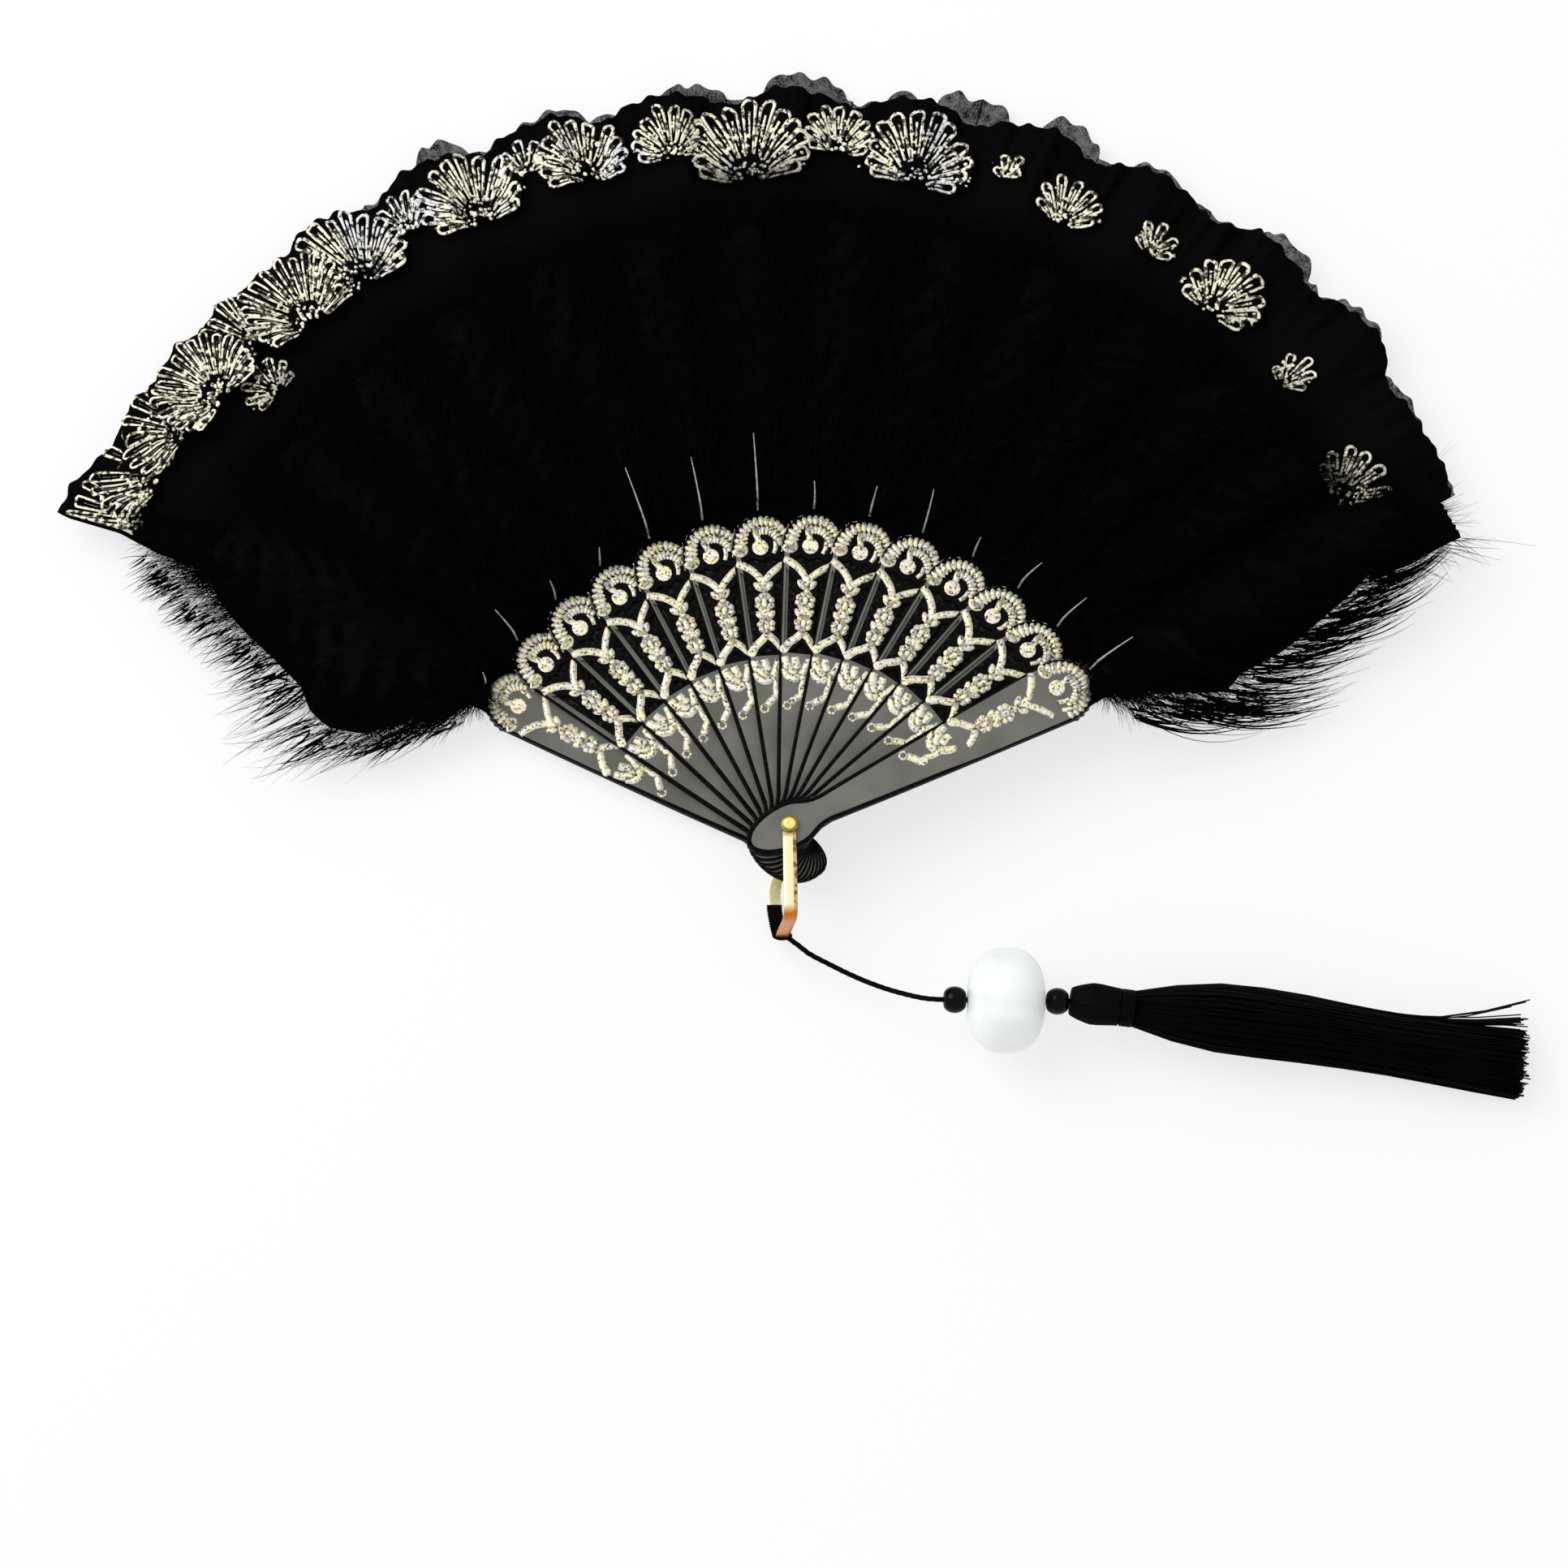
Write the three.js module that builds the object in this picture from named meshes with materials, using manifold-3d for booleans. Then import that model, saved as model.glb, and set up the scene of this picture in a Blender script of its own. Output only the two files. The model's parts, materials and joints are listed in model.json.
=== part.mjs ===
// A folding feather fan lying open on a table: fourteen sticks on one pin, a pleated lace leaf,
// a down plume on every stick, a bail round the stack, and a cord with three beads and a tassel.
// Millimetres, +Z up. The origin is on the table, under the middle of the open fan.
import * as THREE from "three";
import { mergeVertices } from "three/addons/utils/BufferGeometryUtils.js";
import Module from "manifold-3d";

const wasm = await Module();
wasm.setup();

// The open fan: angles are counter-clockwise from +X, seen from above
const stickCount = 14;
const backGuardAngle = THREE.MathUtils.degToRad(151.2);
const foldStep = THREE.MathUtils.degToRad(9.5);

// Thicknesses and the running gap between layers
const stickThickness = 1.4;
const guardThickness = 2.5;
const ribThickness = 0.7;
const layerGap = 0.3;

// Handle part of a stick: distances are measured from the pivot
const pivotEndReach = 13.5;
const pivotEndWidth = 14;
const neckDistance = 12;
const neckWidth = 8.4;
const flareBend = 0.9;
const headEnd = 99.5;
const headHeight = 10;
const headWidth = 19;
const headLobeShare = 0.045;
const headLobes = 4;

// Ornament of an inner stick, a little left of its middle: panels sunk from the face
const panelFloor = 0.5;
const ornamentShift = 1.2;
const headFoot = 3.4;
const eyeRadius = 1.4;
const eyeAside = 3.5;
const eyeInset = 7.2;
const frameWidth = 1.2;
const armWidth = 2.2;
const yokeGap = 4;
const yokeWidth = 10.4;
const vineWidth = 6;
const vineWave = 0.45;
const vineWaves = 3;
const panelLength = 15.6;
const panelSlant = 4;
const chevronDrop = 3.6;
const chevronHeight = 3.3;
const footGap = 2.8;
const footWidth = 5.6;

// Ribs of the inner sticks and blades of the guards
const ribWidth = 3;
const ribTip = 213;
const bladeRootWidth = 12;
const bladeTipWidth = 19;

// Pivot pin and bail
const pinRadius = 1.6;
const pinClearance = 0.3;
const pinHeadRadius = 2.4;
const pinHeadHeight = 0.9;
const pinCrownShare = 0.7;
const bailReach = 27.3;
const bailWidth = 4;
const bailThickness = 1;
const bailCorner = 4;
const bailEyeRadius = 2.9;
const bailAngle = THREE.MathUtils.degToRad(1);

// Lace leaf
const laceThickness = 0.4;
const laceGap = 1.5;
const laceOverhang = 17;
const laceGuardOverhang = 1.5;
const scallopDepth = 5;
const pleatHeight = 5;
const lastPleatShare = 0.58;

// Down plumes and their quills
const plumeStart = 7;
const plumeInset = 15;
const plumeTipRound = 9;
const plumeHeight = 13;
const plumeEdge = 1.2;
const plumeLift = 0.8;
const plumeEndShare = 0.06;
const wingRoot = 13;
const wingReach = 35;
const wingShoulder = 5;
const wingBulgeShare = 0.7;
const frontWingFall = 13;
const backWingFall = 2.4;
const quillRadius = 0.45;
const quillGap = 1.4;
const quillLength = 24;

// Cord, its loop on the bail and its knot
const cordRadius = 0.8;
const cordClearance = 0.5;
const loopHeight = 3.5;
const loopMargin = 0.6;
const knotRadius = 1.7;
const knotTurn = THREE.MathUtils.degToRad(-55);

// Beads: lengths are along the cord
const smallBeadLength = 6.6;
const smallBeadRadius = 3.7;
const bigBeadLength = 22.4;
const bigBeadRadius = 15.4;
const bigBeadLobes = 10;
const bigBeadLobeShare = 0.06;
const smallBeadRoundness = 2.2;
const bigBeadRoundness = 2.4;
const beadGap = 0.4;

// Tassel: widths across the table, and distances from its top
const tasselHeadLength = 9.5;
const tasselHeadWidth = 11.4;
const tasselHeadTaper = 0.35;
const bindingLength = 4.2;
const bindingWidth = 10.6;
const tasselLength = 129;
const bellyDistance = 40;
const bellyWidth = 22;
const waistDistance = 86;
const waistWidth = 18.5;
const hemWidth = 28;
const strandFlutes = 12;
const fluteShare = 0.07;
const skirtFlatness = 0.8;
const cordInTassel = 79;

// Route of the cord, measured from the table under the pivot: the stretch up to the beads,
// then the straight stretch through the beads, then the straight core of the tassel
const cordStretch = [
  [4.9, -30.6, 7.6],
  [6.6, -31.9, 7.2],
  [9.0, -33.3, 7.0],
  [12.6, -35.2, 7.3],
  [17.9, -38.1, 8.5],
  [23.9, -41.1, 10.3],
  [30.0, -43.7, 12.5],
  [35.8, -45.7, 14.7],
  [40.8, -47.0, 16.3],
];
const beadLine = [[45.0, -47.4, 16.8], [83.1, -47.7, 15.0]];
const tasselLine = [[87.6, -48.1, 14.6], [165.6, -57.0, 9.2]];

// Corners of a mesh closer than this are one corner
const weldDistance = 0.001;

// Sizes that follow from the ones above
const layerPitch = stickThickness + layerGap;
const headStart = headEnd - headHeight;
const leafStart = headEnd + laceGap;
const leafEdge = ribTip + laceOverhang;
const plumeRoot = headEnd + plumeStart;
const plumeTip = ribTip - plumeInset;
const holeRadius = pinRadius + pinClearance;
const boreRadius = cordRadius + cordClearance;
const lastStick = stickCount - 1;

const finishes = {
  stick: { color: 0x55544b, roughness: 0.45, metalness: 0 },
  lace: { color: 0x1a1917, roughness: 0.8, metalness: 0 },
  down: { color: 0x050505, roughness: 0.95, metalness: 0 },
  brass: { color: 0xc9963c, roughness: 0.25, metalness: 1 },
  cord: { color: 0x0a0a0a, roughness: 0.7, metalness: 0 },
  blackBead: { color: 0x060606, roughness: 0.15, metalness: 0 },
  clearBead: { color: 0xe8ecea, roughness: 0.3, metalness: 0 },
};

// Height of the underside of a stick in the stack, counted from the back guard
function layerBase(index) {
  if (index === 0) return 0;
  return guardThickness + layerGap + (index - 1) * layerPitch;
}

const stackHeight = layerBase(lastStick) + guardThickness;

function stickAngle(index) {
  return backGuardAngle - index * foldStep;
}

function polar(angle, radius, height) {
  return new THREE.Vector3(radius * Math.cos(angle), radius * Math.sin(angle), height);
}

// A closed mesh with shared corners and its faces pointing out
function closed(geometry) {
  const bare = new THREE.BufferGeometry();
  bare.setAttribute("position", geometry.getAttribute("position").clone());
  if (geometry.index) bare.setIndex(Array.from(geometry.index.array));
  const merged = mergeVertices(bare, weldDistance);
  const corners = merged.getAttribute("position");
  const faces = [];
  let volume = 0;
  const a = new THREE.Vector3();
  const b = new THREE.Vector3();
  const c = new THREE.Vector3();
  for (let i = 0; i < merged.index.count; i += 3) {
    const face = [0, 1, 2].map((k) => merged.index.getX(i + k));
    if (new Set(face).size < 3) continue;
    a.fromBufferAttribute(corners, face[0]);
    b.fromBufferAttribute(corners, face[1]);
    c.fromBufferAttribute(corners, face[2]);
    volume += a.dot(b.cross(c));
    faces.push(face);
  }
  if (volume < 0) faces.forEach((face) => face.reverse());
  merged.setIndex(faces.flat());
  return merged;
}

function toSolid(geometry) {
  const body = closed(geometry);
  return new wasm.Manifold(new wasm.Mesh({
    numProp: 3,
    vertProperties: new Float32Array(body.getAttribute("position").array),
    triVerts: new Uint32Array(body.index.array),
  }));
}

function fromSolid(solid) {
  const mesh = solid.getMesh();
  const geometry = new THREE.BufferGeometry();
  geometry.setAttribute("position", new THREE.BufferAttribute(mesh.vertProperties, 3));
  geometry.setIndex(Array.from(mesh.triVerts));
  return geometry;
}

function piece(name, geometry, finish) {
  const shown = closed(geometry).toNonIndexed();
  shown.computeVertexNormals();
  const mesh = new THREE.Mesh(shown, new THREE.MeshStandardMaterial(finishes[finish]));
  mesh.name = name;
  return mesh;
}

function plate(shape, thickness) {
  return new THREE.ExtrudeGeometry(shape, { depth: thickness, bevelEnabled: false, curveSegments: 6 });
}

// A closed slab over a grid: place(across, along, side) gives its points, across runs from left
// to right, along runs outwards, and side is 0 for the underside and 1 for the top
function slab(acrossSteps, alongSteps, place) {
  const positions = [];
  const row = alongSteps + 1;
  const layer = (acrossSteps + 1) * row;
  for (const side of [0, 1]) {
    for (let i = 0; i <= acrossSteps; i += 1) {
      for (let j = 0; j <= alongSteps; j += 1) {
        positions.push(...place(i / acrossSteps, j / alongSteps, side).toArray());
      }
    }
  }
  const index = [];
  const at = (side, i, j) => side * layer + i * row + j;
  const quad = (a, b, c, d) => index.push(a, b, c, a, c, d);
  for (let i = 0; i < acrossSteps; i += 1) {
    for (let j = 0; j < alongSteps; j += 1) {
      quad(at(1, i, j), at(1, i + 1, j), at(1, i + 1, j + 1), at(1, i, j + 1));
      quad(at(0, i, j + 1), at(0, i + 1, j + 1), at(0, i + 1, j), at(0, i, j));
    }
    quad(at(0, i, 0), at(0, i + 1, 0), at(1, i + 1, 0), at(1, i, 0));
    quad(at(0, i + 1, alongSteps), at(0, i, alongSteps), at(1, i, alongSteps), at(1, i + 1, alongSteps));
  }
  for (let j = 0; j < alongSteps; j += 1) {
    quad(at(0, 0, j + 1), at(0, 0, j), at(1, 0, j), at(1, 0, j + 1));
    quad(at(0, acrossSteps, j), at(0, acrossSteps, j + 1), at(1, acrossSteps, j + 1), at(1, acrossSteps, j));
  }
  const geometry = new THREE.BufferGeometry();
  geometry.setAttribute("position", new THREE.Float32BufferAttribute(positions, 3));
  geometry.setIndex(index);
  return geometry;
}

// Half the width of a handle at a distance from the pivot, between its neck and its head
function handleHalf(distance) {
  const share = (distance - neckDistance) / (headStart - neckDistance);
  return THREE.MathUtils.lerp(neckWidth, headWidth, share ** flareBend) / 2;
}

// Right-hand edge of a handle: round pivot end, drawn-in neck, flare and lobed head
function handleEdge(headTopHalf) {
  const points = [];
  const half = pivotEndWidth / 2;
  for (let i = 0; i <= 6; i += 1) {
    const turn = (Math.PI / 2) * (i / 6 - 1);
    points.push(new THREE.Vector2(half * Math.cos(turn), pivotEndReach * Math.sin(turn)));
  }
  const neck = new THREE.CubicBezierCurve(
    new THREE.Vector2(half, 0),
    new THREE.Vector2(half, neckDistance / 2),
    new THREE.Vector2(neckWidth / 2, neckDistance / 2),
    new THREE.Vector2(neckWidth / 2, neckDistance),
  );
  points.push(...neck.getPoints(4).slice(1));
  for (let i = 1; i <= 4; i += 1) {
    const distance = THREE.MathUtils.lerp(neckDistance, headStart, i / 4);
    points.push(new THREE.Vector2(handleHalf(distance), distance));
  }
  const last = Math.acos(headTopHalf / (headWidth / 2));
  const steps = 2 * headLobes;
  for (let i = 1; i <= steps; i += 1) {
    const turn = last * (i / steps);
    const lobe = 1 + headLobeShare * Math.sin(headLobes * Math.PI * (i / steps)) ** 2;
    points.push(new THREE.Vector2(
      (headWidth / 2) * Math.cos(turn) * lobe,
      headStart + headHeight * Math.sin(turn) * lobe,
    ));
  }
  return points;
}

function mirrored(edge) {
  const left = edge.filter((p) => p.x > weldDistance).map((p) => new THREE.Vector2(-p.x, p.y)).reverse();
  return new THREE.Shape([...edge, ...left]);
}

function roundHole(x, y, radius) {
  const hole = new THREE.Path();
  hole.absarc(x, y, radius, 0, 2 * Math.PI, true);
  return hole;
}

// Distances of the vine's top and foot from the pivot
const vineTop = headStart - headFoot - yokeGap - armWidth - panelSlant / 2;
const vineFoot = vineTop - panelLength;

// Panel beside the vine: its inner side follows the vine's waves, its ends slope with the arms
function sidePanel(sign) {
  const points = [];
  const steps = 2 * vineWaves;
  for (let i = 0; i <= steps; i += 1) {
    const wave = i % 2 === 0 ? 0 : vineWave;
    const inner = sign * (vineWidth / 2 + wave) - ornamentShift;
    points.push([inner, THREE.MathUtils.lerp(vineFoot, vineTop, i / steps)]);
  }
  const high = vineTop + panelSlant;
  const low = vineFoot - chevronDrop;
  points.push([sign * (handleHalf(high) - frameWidth), high]);
  points.push([sign * (handleHalf(low) - frameWidth), low]);
  return new THREE.Path(points.map(([x, y]) => new THREE.Vector2(x, y)));
}

// Panel between the arms that branch from the vine and the foot of the head
function yokePanel() {
  const top = headStart - headFoot;
  const half = yokeWidth / 2;
  return new THREE.Path([
    [0, top - yokeGap],
    [half, top - frameWidth],
    [half / 2, top],
    [0, top - frameWidth],
    [-half / 2, top],
    [-half, top - frameWidth],
  ].map(([x, y]) => new THREE.Vector2(x - ornamentShift, y)));
}

// Small panel under the chevron at the vine's foot
function footPanel() {
  const top = vineFoot - chevronHeight;
  return new THREE.Path([
    [0, top],
    [footWidth / 2, top - footGap],
    [-footWidth / 2, top - footGap],
  ].map(([x, y]) => new THREE.Vector2(x - ornamentShift, y)));
}

// Rib: a slim strip with a round tip, fused to the head
function ribGeometry() {
  const half = ribWidth / 2;
  const shape = new THREE.Shape();
  shape.moveTo(-half, headStart);
  shape.lineTo(half, headStart);
  shape.lineTo(half, ribTip - half);
  shape.absarc(0, ribTip - half, half, 0, Math.PI, false);
  shape.closePath();
  return plate(shape, ribThickness);
}

// Inner stick: a floor plate under a face plate that is cut out where the panels are sunk
function innerStick(name) {
  const floor = mirrored(handleEdge(ribWidth / 2));
  floor.holes.push(roundHole(0, 0, holeRadius));
  const face = floor.clone();
  face.holes.push(roundHole(-ornamentShift - eyeAside, headEnd - eyeInset, eyeRadius));
  face.holes.push(sidePanel(1), sidePanel(-1), yokePanel(), footPanel());
  const top = toSolid(plate(face, stickThickness - panelFloor)).translate([0, 0, panelFloor]);
  const body = toSolid(plate(floor, panelFloor)).add(top).add(toSolid(ribGeometry()));
  return piece(name, fromSolid(body), "stick");
}

function bladeHalf(distance) {
  const share = (distance - headStart) / (ribTip - headStart);
  return THREE.MathUtils.lerp(bladeRootWidth, bladeTipWidth, share) / 2;
}

// Guard: a handle like the others but closed, stepping in to a blade that widens to a round tip
function guard(name) {
  const half = bladeHalf(ribTip);
  const blade = new THREE.Shape();
  blade.moveTo(-bladeHalf(headStart), headStart);
  blade.lineTo(bladeHalf(headStart), headStart);
  blade.lineTo(half, ribTip - half);
  blade.absellipse(0, ribTip - half, half, half, 0, Math.PI, false);
  blade.closePath();
  const handle = mirrored(handleEdge(bladeHalf(headEnd)));
  handle.holes.push(roundHole(0, 0, holeRadius));
  const body = toSolid(plate(handle, guardThickness)).add(toSolid(plate(blade, guardThickness)));
  return piece(name, fromSolid(body), "stick");
}

// Level of the leaf's underside at a stick: on the ribs, and under the front guard's blade
function leafLevel(index) {
  if (index === 0) return guardThickness + layerGap;
  if (index === lastStick) return layerBase(index) - layerGap - laceThickness;
  return layerBase(index) + ribThickness + layerGap;
}

// Height of the leaf's underside: it climbs from stick to stick and crests between them,
// more towards the edge, and the last crest ends before the front guard's blade
function leafHeight(angle, radius) {
  const fold = THREE.MathUtils.clamp((backGuardAngle - angle) / foldStep, 0, lastStick);
  const index = Math.min(Math.floor(fold), lastStick - 1);
  const across = fold - index;
  const level = THREE.MathUtils.lerp(leafLevel(index), leafLevel(index + 1), across);
  const crestShare = index === lastStick - 1 ? lastPleatShare : 1;
  const crest = Math.sin(Math.PI * Math.min(across / crestShare, 1)) ** 2;
  const outwards = Math.max(radius - leafStart, 0) / (leafEdge - leafStart);
  return level + pleatHeight * crestShare * outwards * crest;
}

// One panel of the leaf, from the left edge of a rib to the left edge of the next
function lacePanel(index) {
  const geometry = slab(8, 5, (across, along, side) => {
    const edge = leafEdge - scallopDepth * (1 - Math.sin(Math.PI * across));
    const radius = THREE.MathUtils.lerp(leafStart, edge, along);
    const leftHalf = index === 0 ? bladeHalf(radius) + laceGuardOverhang : ribWidth / 2;
    const rightHalf = index === lastStick - 1 ? 0 : ribWidth / 2 + layerGap;
    const left = stickAngle(index) + leftHalf / radius;
    const right = stickAngle(index + 1) + rightHalf / radius;
    const angle = THREE.MathUtils.lerp(left, right, across);
    return polar(angle, radius, leafHeight(angle, radius) + side * laceThickness);
  });
  return piece(`lace_panel_${String(index + 1).padStart(2, "0")}`, geometry, "lace");
}

// How far an outer plume hangs out past the middle of its guard
function wingHalf(along) {
  return wingRoot + (wingReach - wingRoot) * Math.sin(Math.PI * along ** wingBulgeShare);
}

function plumeRadius(across, along) {
  const tip = plumeTip - plumeTipRound * (2 * across - 1) ** 2;
  return THREE.MathUtils.lerp(plumeRoot, tip, along);
}

// Angles of a plume's two sides: inner plumes fill the sector round their rib, and the two
// outer ones reach out past their guard
function plumeSides(index, radius, along) {
  const middle = stickAngle(index);
  const half = foldStep / 2 - layerGap / (2 * radius);
  const left = index === 0 ? wingHalf(along) / radius : half;
  const right = index === lastStick ? wingHalf(along) / radius : half;
  return [middle + left, middle - right];
}

// Underside of a plume: on the leaf, or on the front guard, and drooping past the outer guards
function plumeUnderside(index, angle, radius) {
  const out = index === 0 ? angle - stickAngle(0) : stickAngle(lastStick) - angle;
  const past = Math.max(out * radius - bladeHalf(radius) - wingShoulder, 0);
  const droop = Math.sin((Math.PI / 2) * Math.min(past / (wingReach - bladeRootWidth / 2), 1)) ** 2;
  if (index === lastStick) return stackHeight + layerGap - frontWingFall * droop;
  const base = leafHeight(angle, radius) + laceThickness + plumeLift;
  return index === 0 ? base - backWingFall * droop : base;
}

function plumeThickness(across, along) {
  const outwards = THREE.MathUtils.lerp(plumeEndShare, 1 - plumeEndShare, along);
  const dome = Math.sin(Math.PI * across) * Math.sqrt(Math.sin(Math.PI * outwards));
  return plumeEdge + plumeHeight * dome;
}

function plumePad(index) {
  const acrossSteps = index === 0 || index === lastStick ? 8 : 6;
  return slab(acrossSteps, 6, (across, along, side) => {
    const radius = plumeRadius(across, along);
    const [left, right] = plumeSides(index, radius, along);
    const angle = THREE.MathUtils.lerp(left, right, across);
    const underside = plumeUnderside(index, angle, radius);
    return polar(angle, radius, underside + side * plumeThickness(across, along));
  });
}

// Quill: a slim needle from the head's edge into the plume
function quillGeometry(index) {
  const angle = stickAngle(index);
  const inner = headEnd + quillGap;
  const outer = headEnd + quillLength;
  const innerBase = index === lastStick ? stackHeight + layerGap : plumeUnderside(index, angle, inner);
  const start = polar(angle, inner, innerBase + quillRadius);
  const end = polar(angle, outer, plumeUnderside(index, angle, outer) + plumeHeight / 3);
  const run = end.clone().sub(start);
  const needle = new THREE.CylinderGeometry(quillRadius / 2, quillRadius, run.length(), 6);
  needle.applyQuaternion(new THREE.Quaternion().setFromUnitVectors(
    new THREE.Vector3(0, 1, 0),
    run.clone().normalize(),
  ));
  const middle = start.clone().lerp(end, 0.5);
  return needle.translate(middle.x, middle.y, middle.z);
}

function plume(index) {
  const body = toSolid(plumePad(index)).add(toSolid(quillGeometry(index)));
  return piece(`plume_${String(index + 1).padStart(2, "0")}`, fromSolid(body), "down");
}

// Pin with a head at each end, outside the bail's two eyes
function pivotPin() {
  const low = -2 * layerGap - bailThickness;
  const high = stackHeight + 2 * layerGap + bailThickness;
  const crown = pinHeadRadius * pinCrownShare;
  const profile = [
    [0, low - pinHeadHeight],
    [crown, low - pinHeadHeight],
    [pinHeadRadius, low - pinHeadHeight / 2],
    [pinHeadRadius, low],
    [pinRadius, low],
    [pinRadius, high],
    [pinHeadRadius, high],
    [pinHeadRadius, high + pinHeadHeight / 2],
    [crown, high + pinHeadHeight],
    [0, high + pinHeadHeight],
  ].map(([x, y]) => new THREE.Vector2(x, y));
  return piece("pivot_pin", new THREE.LatheGeometry(profile, 12).rotateX(Math.PI / 2), "brass");
}

// Bail: a flat strip bent to a U round the stack, with an eye on each leg for the pin
function bail() {
  const low = -layerGap - bailThickness;
  const high = stackHeight + layerGap + bailThickness;
  const side = new THREE.Shape();
  const reach = bailReach + bailThickness / 2;
  side.moveTo(bailEyeRadius, low);
  side.lineTo(bailEyeRadius, low + bailThickness);
  const inner = bailCorner - bailThickness;
  const corner = bailCorner - reach;
  side.lineTo(corner, low + bailThickness);
  side.absarc(corner, low + bailCorner, inner, 1.5 * Math.PI, Math.PI, true);
  side.absarc(corner, high - bailCorner, inner, Math.PI, Math.PI / 2, true);
  side.lineTo(bailEyeRadius, high - bailThickness);
  side.lineTo(bailEyeRadius, high);
  side.lineTo(corner, high);
  side.absarc(corner, high - bailCorner, bailCorner, Math.PI / 2, Math.PI, false);
  side.absarc(corner, low + bailCorner, bailCorner, Math.PI, 1.5 * Math.PI, false);
  side.closePath();
  const strip = new THREE.ExtrudeGeometry(side, {
    depth: 2 * bailEyeRadius,
    bevelEnabled: false,
    curveSegments: 3,
  });
  strip.translate(0, 0, -bailEyeRadius);
  const turn = new THREE.Matrix4().makeBasis(
    new THREE.Vector3(0, 1, 0),
    new THREE.Vector3(0, 0, 1),
    new THREE.Vector3(1, 0, 0),
  );
  strip.applyMatrix4(turn);
  const plan = new THREE.Shape();
  const half = bailWidth / 2;
  const open = Math.asin(half / bailEyeRadius);
  plan.moveTo(half, -reach - bailThickness);
  plan.absarc(0, 0, bailEyeRadius, open - Math.PI / 2, 1.5 * Math.PI - open, false);
  plan.lineTo(-half, -reach - bailThickness);
  plan.closePath();
  plan.holes.push(roundHole(0, 0, holeRadius));
  const cutter = new THREE.ExtrudeGeometry(plan, {
    depth: high - low + 2 * bailThickness,
    bevelEnabled: false,
    curveSegments: 9,
  });
  cutter.translate(0, 0, low - bailThickness);
  const mesh = piece("bail", fromSolid(toSolid(strip).intersect(toSolid(cutter))), "brass");
  mesh.rotation.z = bailAngle;
  return mesh;
}

// Loop of the cord round the base of the bail, with its knot on the outer side
function cordLoop() {
  const halfAcross = bailWidth / 2 + loopMargin + cordRadius;
  const halfDeep = bailThickness / 2 + loopMargin + cordRadius;
  const ring = new THREE.TorusGeometry(halfAcross, cordRadius, 6, 12);
  const positions = ring.getAttribute("position");
  for (let i = 0; i < positions.count; i += 1) {
    const x = positions.getX(i);
    const y = positions.getY(i);
    const around = Math.atan2(y, x);
    const out = Math.hypot(x, y) - halfAcross;
    positions.setX(i, (halfAcross + out) * Math.cos(around));
    positions.setY(i, (halfDeep + out) * Math.sin(around));
  }
  ring.translate(0, -bailReach, loopHeight);
  const knot = new THREE.SphereGeometry(knotRadius, 7, 5);
  knot.translate(
    (halfAcross + knotRadius / 2) * Math.cos(knotTurn),
    (halfDeep + knotRadius / 2) * Math.sin(knotTurn) - bailReach,
    loopHeight,
  );
  const mesh = piece("cord_loop", fromSolid(toSolid(ring).add(toSolid(knot))), "cord");
  mesh.rotation.z = bailAngle;
  return mesh;
}

function vector(point) {
  return new THREE.Vector3(point[0], point[1], point[2]);
}

// Points along a straight line from one end to the other
function along(line, count) {
  const [from, to] = line.map(vector);
  return Array.from({ length: count }, (_, i) => from.clone().lerp(to, i / (count - 1)));
}

function cordRoute() {
  return [...cordStretch.map(vector), ...along(beadLine, 5), ...along(tasselLine, 6)];
}

function cord() {
  const section = new THREE.Shape(Array.from({ length: 8 }, (_, i) => {
    const turn = (i * Math.PI) / 4;
    return new THREE.Vector2(cordRadius * Math.cos(turn), cordRadius * Math.sin(turn));
  }));
  const path = new THREE.CatmullRomCurve3(cordRoute(), false, "centripetal");
  const tube = new THREE.ExtrudeGeometry(section, { extrudePath: path, steps: 52, bevelEnabled: false });
  return piece("cord", tube, "cord");
}

// A place and direction on the straight line through the beads
function beadPlace(distance) {
  const [from, to] = beadLine.map(vector);
  const direction = to.clone().sub(from).normalize();
  return { centre: from.clone().addScaledVector(direction, distance), direction };
}

function threaded(mesh, distance) {
  const { centre, direction } = beadPlace(distance);
  mesh.position.copy(centre);
  mesh.quaternion.setFromUnitVectors(new THREE.Vector3(0, 1, 0), direction);
  return mesh;
}

// Closed profile of a bead: a rounded outside and the wall of its bore
function beadProfile(length, radius, roundness, steps) {
  const points = [];
  for (let i = 0; i <= steps; i += 1) {
    const share = (2 * i) / steps - 1;
    const bulge = (1 - Math.abs(share) ** roundness) ** (1 / roundness);
    const out = THREE.MathUtils.lerp(boreRadius + cordRadius, radius, bulge);
    points.push(new THREE.Vector2(out, (share * length) / 2));
  }
  points.push(new THREE.Vector2(boreRadius, length / 2));
  points.push(new THREE.Vector2(boreRadius, -length / 2));
  points.push(points[0].clone());
  return points;
}

function smallBead(name, distance) {
  const geometry = new THREE.LatheGeometry(beadProfile(smallBeadLength, smallBeadRadius, smallBeadRoundness, 6), 12);
  return threaded(piece(name, geometry, "blackBead"), distance);
}

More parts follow.
